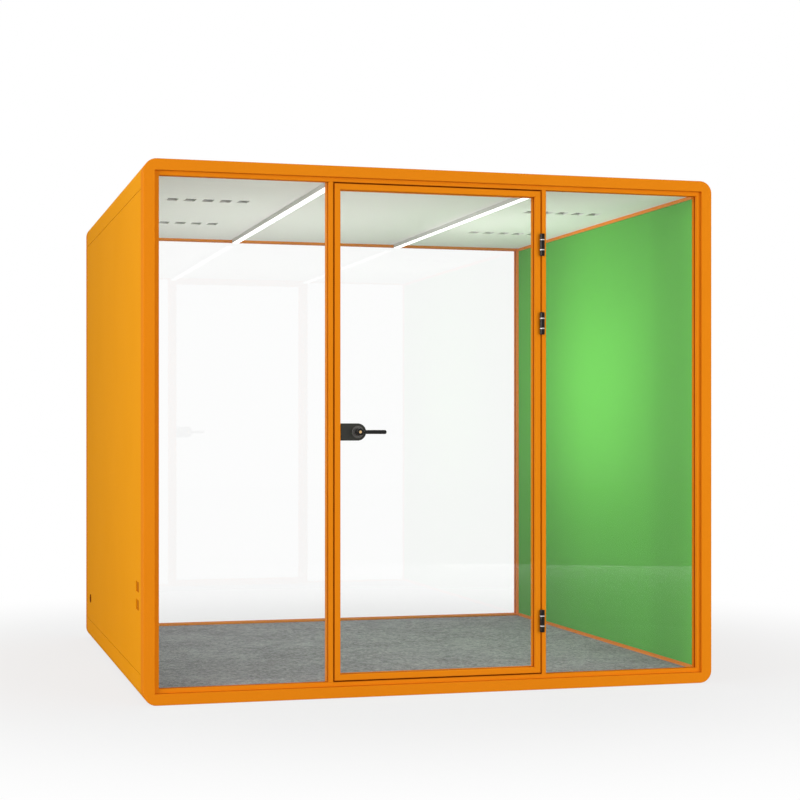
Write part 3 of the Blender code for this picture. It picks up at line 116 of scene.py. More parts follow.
class Wiring:
    """Adds nodes to one shader tree and joins them."""

    def __init__(self, tree: NodeTree) -> None:
        """Empty the tree and start on it."""
        tree.nodes.clear()
        self.tree = tree
        self.column = 0

    def node(self, kind: str, settings: dict | None = None, **inputs: object) -> Node:
        """Add a node.

        Args:
            kind: the node's type name after "ShaderNode", or a group type.
            settings: attributes of the node.
            inputs: input sockets by name, with underscores for spaces: a socket to join or a value.

        Returns:
            The new node.
        """
        made = self.tree.nodes.new(kind if kind.startswith("Node") else "ShaderNode" + kind)
        made.location = (180 * self.column, 0)
        self.column += 1
        for name, value in (settings or {}).items():
            setattr(made, name, value)
        for name, value in inputs.items():
            self.feed(made.inputs[name.replace("_", " ")], value)
        return made

    def feed(self, socket: NodeSocket, value: object) -> None:
        """Join an output to a socket, or set the socket's own value."""
        if isinstance(value, NodeSocket):
            self.tree.links.new(value, socket)
        else:
            socket.default_value = value

    def listed(self, kind: str, values: Sequence[object], settings: dict | None = None) -> NodeSocket:
        """Add a node, feed its first sockets in order, and give its first output."""
        made = self.node(kind, settings)
        for socket, value in zip(made.inputs, values):
            self.feed(socket, value)
        return made.outputs[0]

    def calculate(self, operation: str, *operands: object) -> NodeSocket:
        """A Math node's result for two or three operands."""
        return self.listed("Math", operands, {"operation": operation})

    def weigh(self, first: object, share: float, second: object, other_share: float) -> NodeSocket:
        """The sum of two values, each times its share."""
        return self.calculate("MULTIPLY_ADD", first, share, self.calculate("MULTIPLY", second, other_share))

    def blend(self, share: object, low: object, high: object) -> NodeSocket:
        """A colour between two colours by a share from 0 to 1."""
        made = self.node("Mix", {"data_type": "RGBA"})
        for index, value in ((0, share), (6, low), (7, high)):
            self.feed(made.inputs[index], value)
        return made.outputs[2]

    def ranged(self, share: object, low: float, high: float) -> NodeSocket:
        """A number between two numbers by a share from 0 to 1."""
        return self.node("MapRange", Value=share, To_Min=low, To_Max=high).outputs[0]

    def noise(self, vector: object, scale: float, detail: float = 2.0, rough: float = 0.5) -> NodeSocket:
        """A noise texture's value at a vector."""
        return self.node("TexNoise", Vector=vector, Scale=scale, Detail=detail, Roughness=rough).outputs[0]

    def pattern(self, tree: NodeTree, repeats: Point) -> Node:
        """A pattern's group, fed with object coordinates times its repeats per metre."""
        place = self.node("TexCoord").outputs["Object"]
        scaled = self.node("Mapping", Vector=place, Scale=repeats).outputs[0]
        return self.node("Group", {"node_tree": tree}, Coordinates=scaled)

    def either(self, rays: Node, first: str, second: str) -> NodeSocket:
        """1 for rays of two kinds, else 0, from a Light Path node."""
        return self.calculate("MAXIMUM", rays.outputs[f"Is {first} Ray"], rays.outputs[f"Is {second} Ray"])


class PatternGroups:
    """Builds each pattern's node group once: coordinates in, shade and height out."""

    def __init__(self) -> None:
        """Make every group that a finish can ask for."""
        makers = {
            Pattern.PAINT: self.paint,
            Pattern.FIBRE: self.fibre,
            Pattern.PILE: self.pile,
            Pattern.DRAWN: self.drawn,
            Pattern.CHIPS: self.chips,
        }
        self.trees = {pattern: self.group(pattern, maker) for pattern, maker in makers.items()}

    def group(self, pattern: Pattern, maker) -> NodeTree:
        """Make one group.

        Args:
            pattern: which pattern it holds, which names it.
            maker: a method that takes the wiring and the coordinates and gives shade and height.

        Returns:
            The node tree, with an input Coordinates and outputs Shade and Height.
        """
        tree = bpy.data.node_groups.new(pattern.value, "ShaderNodeTree")
        tree.interface.new_socket("Coordinates", in_out="INPUT", socket_type="NodeSocketVector")
        for name in ("Shade", "Height"):
            tree.interface.new_socket(name, in_out="OUTPUT", socket_type="NodeSocketFloat")
        wiring = Wiring(tree)
        entry = wiring.node("NodeGroupInput")
        shade, height = maker(wiring, entry.outputs["Coordinates"])
        wiring.node("NodeGroupOutput", Shade=shade, Height=height)
        return tree

    @staticmethod
    def paint(wiring: Wiring, place: NodeSocket) -> tuple:
        """Powder coat: an orange-peel ripple with broad, faint clouds and fine grit."""
        peel = wiring.noise(place, 1.0, 1.0)
        grit = wiring.noise(place, 5.3, 2.0, 0.7)
        clouds = wiring.noise(place, 0.006, 3.0)
        return wiring.weigh(clouds, 0.7, grit, 0.3), wiring.calculate("MULTIPLY_ADD", grit, 0.25, peel)

    @staticmethod
    def fibre(wiring: Wiring, place: NodeSocket) -> tuple:
        """Pressed felt: three layers of long fibres laid at different angles, with soft tufts."""
        layers = []
        for turn, stretch in ((0.0, 9.0), (1.05, 7.0), (2.1, 8.0)):
            laid = wiring.node("Mapping", Vector=place, Rotation=even(turn), Scale=(1.0, stretch, stretch))
            layers.append(wiring.noise(laid.outputs[0], 1.0, 2.0, 0.6))
        crossed = wiring.calculate("MAXIMUM", wiring.calculate("MAXIMUM", layers[0], layers[1]), layers[2])
        tufts = wiring.noise(place, 0.22, 3.0, 0.6)
        return wiring.weigh(tufts, 0.2, crossed, 0.7), crossed

    @staticmethod
    def pile(wiring: Wiring, place: NodeSocket) -> tuple:
        """Loop pile: round loops, each of its own tone, with flecks and worn patches."""
        bent = wiring.node("TexNoise", Vector=place, Scale=0.7, Detail=1.0)
        shift = (bent.outputs["Color"], even(0.5), place)
        moved = wiring.listed("VectorMath", shift, {"operation": "MULTIPLY_ADD"})
        loops = wiring.node("TexVoronoi", Vector=moved, Scale=1.0)
        tone = wiring.node("SeparateColor", Color=loops.outputs["Color"])
        fall = wiring.calculate("POWER", loops.outputs["Distance"], 1.6)
        round_top = wiring.calculate("SUBTRACT", 1.0, fall)
        patches = wiring.noise(place, 0.03, 5.0, 0.65)
        tufts = wiring.noise(place, 0.25, 3.0, 0.75)
        worn = wiring.weigh(patches, 0.5, tufts, 0.6)
        mixed = wiring.calculate("MULTIPLY_ADD", tone.outputs[0], 0.35, worn)
        shade = wiring.calculate("SUBTRACT", wiring.calculate("MULTIPLY_ADD", round_top, 0.1, mixed), 0.27)
        return shade, round_top

    @staticmethod
    def drawn(wiring: Wiring, place: NodeSocket) -> tuple:
        """Drawn or turned metal: fine lines along the direction in which the coordinates are short."""
        lines = wiring.noise(place, 1.0, 4.0, 0.65)
        broad = wiring.noise(place, 0.16, 2.0)
        return wiring.weigh(lines, 0.65, broad, 0.35), lines

    @staticmethod
    def chips(wiring: Wiring, place: NodeSocket) -> tuple:
        """Pressed board: flat chips in random tones with fine dust between them."""
        chips = wiring.node("TexVoronoi", Vector=place, Scale=1.0, Randomness=1.0)
        tone = wiring.node("SeparateColor", Color=chips.outputs["Color"])
        dust = wiring.noise(place, 3.0, 3.0, 0.7)
        return wiring.weigh(tone.outputs[0], 0.7, dust, 0.3), tone.outputs[1]


@dataclass(frozen=True)
class Covering:
    """What every finish has: its name and the material slot of the record that it belongs to."""

    name: str
    slot: str

    def material(self, groups: PatternGroups) -> Material:
        """The finish as a material, built once and then found by its name."""
        made = bpy.data.materials.get(self.name)
        if made is None:
            made = bpy.data.materials.new(self.name)
            made.use_nodes = True
            wiring = Wiring(made.node_tree)
            wiring.node("OutputMaterial", Surface=self.surface(wiring, groups))
        return made

    def surface(self, wiring: Wiring, groups: PatternGroups) -> NodeSocket:
        """The shader's output, which each kind of finish makes."""
        raise NotImplementedError


@dataclass(frozen=True)
class Finish(Covering):
    """A surface finish on object coordinates.

    light and dark are the colours where the pattern's shade is 1 and 0, gloss is the roughness
    where the shade is 0 and where it is 1, repeats is how often the pattern repeats per metre along
    X, Y and Z, relief is its depth in metres, and gleam is the strength of the plain reflection.
    """

    light: Colour
    dark: Colour
    gloss: Pair
    pattern: Pattern
    repeats: Point
    relief: float
    metallic: float = 0.0
    coat: float = 0.0
    coat_roughness: float = 0.12
    glow: float = 0.0
    gleam: float = 0.5

    def surface(self, wiring: Wiring, groups: PatternGroups) -> NodeSocket:
        """A shader whose colour, roughness and relief follow the pattern."""
        pattern = wiring.pattern(groups.trees[self.pattern], self.repeats)
        shade = pattern.outputs["Shade"]
        colour = wiring.blend(shade, (*self.dark, 1.0), (*self.light, 1.0))
        rough = wiring.ranged(shade, *self.gloss)
        bump = wiring.node("Bump", Height=pattern.outputs["Height"], Distance=self.relief, Strength=1.0)
        shader = wiring.node(
            "BsdfPrincipled",
            Base_Color=colour,
            Roughness=rough,
            Normal=bump.outputs[0],
            Metallic=self.metallic,
            Specular_IOR_Level=self.gleam,
            Coat_Weight=self.coat,
            Coat_Roughness=self.coat_roughness,
        )
        if self.glow:
            wiring.feed(shader.inputs["Emission Color"], colour)
            shader.inputs["Emission Strength"].default_value = self.glow
        return shader.outputs[0]


@dataclass(frozen=True)
class ClearGlass(Covering):
    """Clear float glass that lets lamps light what is behind it."""

    tint: Colour = (0.998, 1.0, 0.999)
    bend: float = 1.45
    smear_repeats: Point = even(5.0)
    smear: float = 0.004

    def surface(self, wiring: Wiring, groups: PatternGroups) -> NodeSocket:
        """Glass for the eye, and a tinted clear film for rays to lamps and between soft surfaces."""
        smears = wiring.pattern(groups.trees[Pattern.PAINT], self.smear_repeats)
        glass = wiring.node(
            "BsdfPrincipled",
            Base_Color=(*self.tint, 1.0),
            Roughness=wiring.ranged(smears.outputs["Shade"], 0.0, self.smear),
            IOR=self.bend,
            Transmission_Weight=1.0,
        )
        film = wiring.node("BsdfTransparent", Color=(*self.tint, 1.0))
        soft = wiring.either(wiring.node("LightPath"), "Shadow", "Diffuse")
        return wiring.listed("MixShader", (soft, glass.outputs[0], film.outputs[0]))


# The panels' and rails' orange is lighter and yellower than the frame's: painted light, standing in for the
# key lamp falling on the side walls.
SIDE_LIT_PANEL_PAINT = Finish(
    "orange_coat_lighter_for_side_light", "shell_paint", srgb(238, 158, 16), srgb(232, 152, 12), (0.82, 0.72),
    Pattern.PAINT, even(420.0), 0.00005, gleam=0.03,
)
FRAME_PAINT = Finish(
    "orange_frame_coat", "frame_paint", srgb(233, 137, 24), srgb(227, 130, 16), (0.74, 0.66),
    Pattern.PAINT, even(520.0), 0.00003, gleam=0.02,
)
GREEN_FELT = Finish(
    "green_pressed_felt", "green_felt", srgb(98, 185, 74), srgb(90, 177, 67), (0.98, 0.88),
    Pattern.FIBRE, even(420.0), 0.00002, gleam=0.03,
)
GREY_FELT = replace(
    GREEN_FELT, name="grey_pressed_felt", slot="grey_felt", light=srgb(196, 196, 192),
    dark=srgb(150, 150, 146),
)
CEILING_FELT = Finish(
    "ceiling_pressed_felt", "ceiling_board", srgb(250, 250, 246), srgb(230, 230, 225), (0.95, 0.85),
    Pattern.FIBRE, (14.0, 95.0, 95.0), 0.0002, gleam=0.03,
)
CARPET = Finish(
    "grey_loop_carpet", "carpet_pile", srgb(189, 189, 193), srgb(58, 58, 62), (0.98, 0.90),
    Pattern.PILE, even(95.0), 0.002, gleam=0.05,
)
WOOL = Finish(
    "mineral_wool_slab", "mineral_wool", srgb(214, 200, 152), srgb(150, 134, 92), (1.0, 0.9),
    Pattern.FIBRE, (90.0, 90.0, 220.0), 0.002,
)
BOARD = Finish(
    "pressed_floor_board", "floor_board", srgb(196, 160, 112), srgb(132, 98, 60), (0.85, 0.65),
    Pattern.CHIPS, (70.0, 70.0, 300.0), 0.0003,
)
# The gaskets and door seal are rubber, but their red-brown tone is painted shade: it stands in for the
# shaded orange reveals around the glass.
REVEAL_SHADE_RUBBER = Finish(
    "rubber_brown_for_reveal_shade", "black_rubber", srgb(196, 82, 8), srgb(168, 64, 4), (0.85, 0.65),
    Pattern.PAINT, even(700.0), 0.00006, gleam=0.1,
)
GUNMETAL = Finish(
    "turned_gunmetal", "hinge_gunmetal", srgb(50, 45, 41), srgb(16, 14, 13), (0.36, 0.26),
    Pattern.DRAWN, (12.0, 12.0, 2600.0), 0.00002, metallic=0.5,
)
COLLAR_STEEL = Finish(
    "bright_collar_steel", "bright_steel", srgb(252, 252, 254), srgb(232, 232, 236), (0.35, 0.24),
    Pattern.DRAWN, (20.0, 20.0, 3000.0), 0.00001, metallic=0.3,
)
PLATE_STEEL = Finish(
    "drawn_plate_steel", "bright_steel", srgb(206, 206, 208), srgb(150, 150, 154), (0.38, 0.26),
    Pattern.DRAWN, (1800.0, 1800.0, 25.0), 0.00001, metallic=1.0,
)
LOCK_BLACK = Finish(
    "satin_lock_black", "lock_black", srgb(62, 62, 56), srgb(46, 46, 42), (0.52, 0.40),
    Pattern.PAINT, even(900.0), 0.00004, gleam=0.3,
)
LEVER_BLACK = Finish(
    "polished_lever_black", "lock_black", srgb(36, 36, 34), srgb(16, 16, 16), (0.40, 0.28),
    Pattern.DRAWN, (2400.0, 30.0, 30.0), 0.00001, metallic=0.3, coat=0.25,
)
# The rose is a lighter grey than the black case and lever: painted highlight, standing in for the light on
# its rim.
ROSE_GREY_HIGHLIGHT = Finish(
    "turned_rose_painted_highlight", "lock_black", srgb(104, 102, 98), srgb(88, 86, 82), (0.34, 0.26),
    Pattern.DRAWN, (1500.0, 30.0, 1500.0), 0.00001, metallic=0.1,
)
GROMMET_RUBBER = replace(
    REVEAL_SHADE_RUBBER, name="brown_grommet_rubber", light=srgb(124, 50, 8), dark=srgb(96, 36, 4), gleam=0.03
)
# A darker orange for the plates in the left panel's recesses: painted shade of the recesses.
RECESS_SHADE_ORANGE = Finish(
    "painted_recess_shade", "shell_paint", srgb(206, 120, 14), srgb(184, 104, 10), (0.92, 0.84),
    Pattern.FIBRE, even(420.0), 0.00005, gleam=0.02,
)
BRASS = Finish(
    "turned_brass", "cylinder_brass", srgb(255, 222, 168), srgb(236, 190, 120), (0.36, 0.24),
    Pattern.DRAWN, (1500.0, 30.0, 1500.0), 0.00001, metallic=0.35,
)
HOUSING_WHITE = Finish(
    "white_strip_coat", "housing_white", srgb(226, 227, 222), srgb(208, 209, 204), (0.5, 0.4),
    Pattern.PAINT, even(600.0), 0.00003,
)
DIFFUSER = Finish(
    "opal_diffuser", "diffuser_white", (1.0, 1.0, 0.98), (0.97, 0.97, 0.95), (0.6, 0.5),
    Pattern.PAINT, even(300.0), 0.00002, glow=1.6,
)
SLOT_CLOTH = Finish(
    "slot_cloth", "fan_black", srgb(92, 93, 91), srgb(58, 59, 57), (0.98, 0.9),
    Pattern.FIBRE, even(300.0), 0.0003,
)
FAN_PLASTIC = Finish(
    "moulded_fan_plastic", "fan_black", srgb(52, 52, 52), srgb(30, 30, 30), (0.6, 0.45),
    Pattern.PAINT, even(1100.0), 0.00005,
)
DRIVER_COAT = Finish(
    "driver_case_coat", "driver_grey", srgb(190, 192, 194), srgb(160, 162, 165), (0.45, 0.35),
    Pattern.DRAWN, (900.0, 12.0, 900.0), 0.00002, metallic=0.6,
)
GLASS = ClearGlass("clear_float_glass", "clear_glass")


@contextmanager
def opened(mesh: Mesh, weld: float) -> Iterator[bmesh.types.BMesh]:
    """Open a mesh with its doubles merged, and write it back at the end."""
    shape = bmesh.new()
    shape.from_mesh(mesh)
    bmesh.ops.remove_doubles(shape, verts=shape.verts, dist=weld)
    bmesh.ops.dissolve_degenerate(shape, edges=shape.edges, dist=weld)
    yield shape
    shape.to_mesh(mesh)
    shape.free()


@dataclass
class Surface:
    """Points and faces of a surface, in metres in the row frame."""

    points: Array
    faces: list[tuple[int, ...]]

    def __add__(self, other: "Surface") -> "Surface":
        """Both surfaces as one."""
        shift = len(self.points)
        moved = [tuple(index + shift for index in face) for face in other.faces]
        return Surface(np.vstack([self.points, other.points]), self.faces + moved)

    def mesh(self, name: str) -> Mesh:
        """The surface as a mesh whose closed shells face outwards."""
        made = bpy.data.meshes.new(name)
        made.from_pydata(self.points.tolist(), [], self.faces)
        with opened(made, WELD) as shape:
            bmesh.ops.recalc_face_normals(shape, faces=shape.faces)
            if shape.calc_volume(signed=True) < 0.0:
                bmesh.ops.reverse_faces(shape, faces=shape.faces)
        return made

    def piece(self, name: str, finish: Covering, body: Body, *stands_for: str) -> Object:
        """Put the surface in the scene, in place of the CAD nodes that it stands for."""
        return place_piece(name, self.mesh(name), finish, body, stands_for, TURNED_SHARP)


def place_piece(
    name: str, mesh: Mesh, finish: Covering, body: Body, stands_for: Sequence[str], sharp: float
) -> Object:
    """Link a piece, dress it, and hang it on its body.

    Args:
        name: the piece's name.
        mesh: its mesh, which holds its place.
        finish: its finish.
        body: the body that it rides on.
        stands_for: the CAD nodes that it replaces.
        sharp: edges that turn more than this many degrees stay sharp.

    Returns:
        The new object.
    """
    made = bpy.data.objects.new(name, mesh)
    bpy.context.scene.collection.objects.link(made)
    mesh.shade_smooth()
    mesh.set_sharp_from_angle(angle=math.radians(sharp))
    mesh.materials.clear()
    mesh.materials.append(finish.material(GROUPS))
    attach(made, body.value)
    if stands_for:
        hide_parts(*stands_for)
    LOG.info("%s: %d faces on %s", name, len(mesh.polygons), body.value)
    return made


def bevel(made: Object, name: str, width: float, segments: int, limit: str) -> BevelModifier:
    """Round the edges that a limit method picks."""
    rounding = made.modifiers.new(name, "BEVEL")
    rounding.width = width
    rounding.segments = segments
    rounding.limit_method = limit
    return rounding


def keep_flats(made: Object) -> None:
    """Let the flat faces set the shading beside rounded edges."""
    made.modifiers.new("flat_faces_stay_flat", "WEIGHTED_NORMAL").keep_sharp = True


@dataclass(frozen=True)
class SoftRim:
    """The long edges on a member's outer side, which are rounded more than the others.

    radius is the rounding, depth is how far behind the front face an edge may lie, shortest is the
    length that an edge must have, turn is the least angle in degrees between its faces, and level
    is how much its two ends may differ in depth.
    """

    radius: float = 0.003
    depth: float = 0.012
    shortest: float = 0.2
    turn: float = 60.0
    level: float = 1e-5
    segments: int = 4

    def mark(self, shape: bmesh.types.BMesh) -> None:
        """Weigh the convex edges that run level along the outer side."""
        weight = shape.edges.layers.float.new("bevel_weight_edge")
        outer = min(vertex.co.y for vertex in shape.verts)
        for edge in shape.edges:
            first, second = (vertex.co.y for vertex in edge.verts)
            level = abs(first - second) < self.level and first < outer + self.depth
            if level and len(edge.link_faces) == 2 and edge.calc_length() > self.shortest:
                edge[weight] = float(edge.calc_face_angle_signed() > math.radians(self.turn))


def carve(made: Object, cutter_surface: Surface) -> None:
    """Cut a closed surface out of a piece."""
    cutter = bpy.data.objects.new("cutter", cutter_surface.mesh("cutter"))
    bpy.context.scene.collection.objects.link(cutter)
    made.modifiers.new("only_triangles", "TRIANGULATE")
    cut = made.modifiers.new("cut", "BOOLEAN")
    cut.operation = "DIFFERENCE"
    cut.solver = "EXACT"
    cut.object = cutter
    bpy.context.view_layer.update()
    finished = bpy.data.meshes.new_from_object(made.evaluated_get(bpy.context.evaluated_depsgraph_get()))
    made.modifiers.clear()
    made.data = finished
    bpy.data.objects.remove(cutter, do_unlink=True)


def refined(
    node: str,
    finish: Covering,
    edge: float = 0.0,
    segments: int = 2,
    body: Body = Body.SHELL,
    sharp: float = 30.0,
    rim: SoftRim | None = None,
) -> Object:
    """A CAD node's shape with its loose triangles joined and its edges rounded.

    Args:
        node: the CAD node that it replaces.
        finish: its finish.
        edge: the radius of the rounded edges in metres, or 0 for none.
        segments: how many faces make the rounding.
        body: the body that it rides on.
        sharp: edges that turn more than this many degrees are rounded, or stay sharp.
        rim: the rounding of the long outer edges, or None for edges that are all alike.

    Returns:
        The new object, named for the node.
    """
    name = f"{node}_finished"
    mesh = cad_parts[node].data.copy()
    mesh.name = name
    with opened(mesh, CAD_WELD) as shape:
        bmesh.ops.dissolve_limit(
            shape, angle_limit=FLAT_TURN, verts=shape.verts, edges=shape.edges, delimit={"NORMAL"}
        )
        if rim:
            rim.mark(shape)
    made = place_piece(name, mesh, finish, body, (node,), sharp)
    if rim:
        bevel(made, "soft_rim", rim.radius, rim.segments, "WEIGHT")
    if edge:
        bevel(made, "rounded_edges", edge, segments, "ANGLE").angle_limit = math.radians(sharp)
        mesh.shade_smooth()
        keep_flats(made)
    return made


def grid_faces(rows: int, columns: int, wrap: bool) -> list[tuple[int, ...]]:
    """Quads between neighbouring rows of points.

    Args:
        rows: how many rows of points there are.
        columns: how many points there are in a row.
        wrap: join each row's last point to its first.

    Returns:
        Four indices a face.
    """
    row = np.arange(rows - 1)[:, None] * columns
    column = np.arange(columns if wrap else columns - 1)[None, :]
    after = (column + 1) % columns
    quads = np.stack([row + column, row + after, row + columns + after, row + columns + column], axis=-1)
    return [tuple(quad) for quad in quads.reshape(-1, 4).tolist()]


def across(axis: Axis, along: Array | float, first: Array, second: Array) -> Array:
    """Points from their distances along an axis and along the two axes across it."""
    points = np.empty((*np.broadcast(along, first, second).shape, 3))
    for index, values in zip(axis.value, (along, first, second)):
        points[..., index] = values
    return points


def fillet(corners: Sequence[Pair], radii: float | Sequence[float], steps: int = 6) -> Array:
    """A flat outline with rounded corners.

    At each corner the arc starts r / tan(half the angle) away from the corner and turns about the
    point that lies r / sin(half the angle) away on the corner's bisector.

    Args:
        corners: the corners in order.
        radii: one radius for all corners, or one each.
        steps: the parts of each arc.

    Returns:
        The points in order, steps + 1 for each corner.
    """
    corner = np.asarray(corners, float)
    radius = np.broadcast_to(np.asarray(radii, float), (len(corner),))[:, None]
    back = np.roll(corner, 1, axis=0) - corner
    ahead = np.roll(corner, -1, axis=0) - corner
    back /= np.linalg.norm(back, axis=1, keepdims=True)
    ahead /= np.linalg.norm(ahead, axis=1, keepdims=True)
    half = np.arccos(np.clip((back * ahead).sum(1), -1.0, 1.0))[:, None] / 2
    middle = back + ahead
    middle /= np.maximum(np.linalg.norm(middle, axis=1, keepdims=True), NEARLY_ZERO)
    centre = corner + middle * radius / np.sin(half)
    reach = radius / np.tan(half)
    start = corner + back * reach - centre
    end = corner + ahead * reach - centre
    sweep = np.maximum(np.pi - 2 * half, LEAST_TURN)[:, :, None]
    share = np.linspace(0.0, 1.0, steps + 1)[None, :, None]
    turned = np.sin((1 - share) * sweep) * start[:, None] + np.sin(share * sweep) * end[:, None]
    return (centre[:, None] + turned / np.sin(sweep)).reshape(-1, 2)


def rectangle(low: Pair, high: Pair) -> list[Pair]:
    """The corners of a rectangle, anticlockwise."""
    return [low, (high[0], low[1]), high, (low[0], high[1])]


def outline_normals(outline: Array) -> Array:
    """Unit vectors that point out of an anticlockwise outline, the mean of both edges at each point."""
    edge = np.roll(outline, -1, axis=0) - outline
    edge /= np.linalg.norm(edge, axis=1, keepdims=True)
    side = np.stack([edge[:, 1], -edge[:, 0]], axis=1)
    mean = side + np.roll(side, 1, axis=0)
    return mean / np.linalg.norm(mean, axis=1, keepdims=True)


def slab(outline: Array, low: float, high: float, axis: Axis, edge: float = 0.0, steps: int = 4) -> Surface:
    """A plate with rounded rims.

    The rim is a quarter circle at each side: at angle t from the face, the outline is drawn in by
    edge * (1 - sin t) and lies edge * (1 - cos t) from the face.

    Args:
        outline: anticlockwise points in the two axes across the plate.
        low, high: the plate's faces along the axis.
        axis: the plate's normal.
        edge: the radius of the rims.
        steps: the parts of each quarter circle.

    Returns:
        A closed surface with flat faces as single polygons.
    """
    angle = np.linspace(0.0, np.pi / 2, steps + 1) if edge else np.array([np.pi / 2])
    inset = np.concatenate([edge * (1 - np.sin(angle)), edge * (1 - np.sin(angle[::-1]))])
    depth = np.concatenate([low + edge * (1 - np.cos(angle)), high - edge * (1 - np.cos(angle[::-1]))])
    flat = outline[None] - outline_normals(outline)[None] * inset[:, None, None]
    points = across(axis, depth[:, None], flat[..., 0], flat[..., 1])
    rows, columns = points.shape[:2]
    ends = [tuple(range(columns)), tuple(range((rows - 1) * columns, rows * columns))]
    return Surface(points.reshape(-1, 3), grid_faces(rows, columns, True) + ends)


def lathe(profile: Array, place: Point, axis: Axis, steps: int = 48) -> Surface:
    """A turned surface: each point of the profile goes round the axis in a circle of its radius.

    Args:
        profile: pairs of radius and height; it ends on the axis or closes on itself.
        place: a point on the axis, where the height is 0.
        axis: the axis of turning.
        steps: points round the circle.

    Returns:
        The surface, with the last point joined to the first where the profile is a loop.
    """
    closed = profile[0, 0] > 0.0
    ring = np.vstack([profile, profile[:1]]) if closed else profile
    angle = np.linspace(0.0, 2 * np.pi, steps, endpoint=False)[None]
    origin = [place[index] for index in axis.value]
    radius = ring[:, :1]
    along = origin[0] + ring[:, 1:] + 0 * angle
    points = across(axis, along, origin[1] + radius * np.cos(angle), origin[2] + radius * np.sin(angle))
    return Surface(points.reshape(-1, 3), grid_faces(len(ring), steps, True))


def rounded_profile(corners: Sequence[Pair], radii: Sequence[float], steps: int = 4) -> Array:
    """An open profile whose inner corners are rounded and whose two ends stay as they are."""
    turned = fillet(corners, [NEARLY_SHARP, *radii, NEARLY_SHARP], steps)
    return np.vstack([corners[:1], turned[steps + 1 : -(steps + 1)], corners[-1:]])


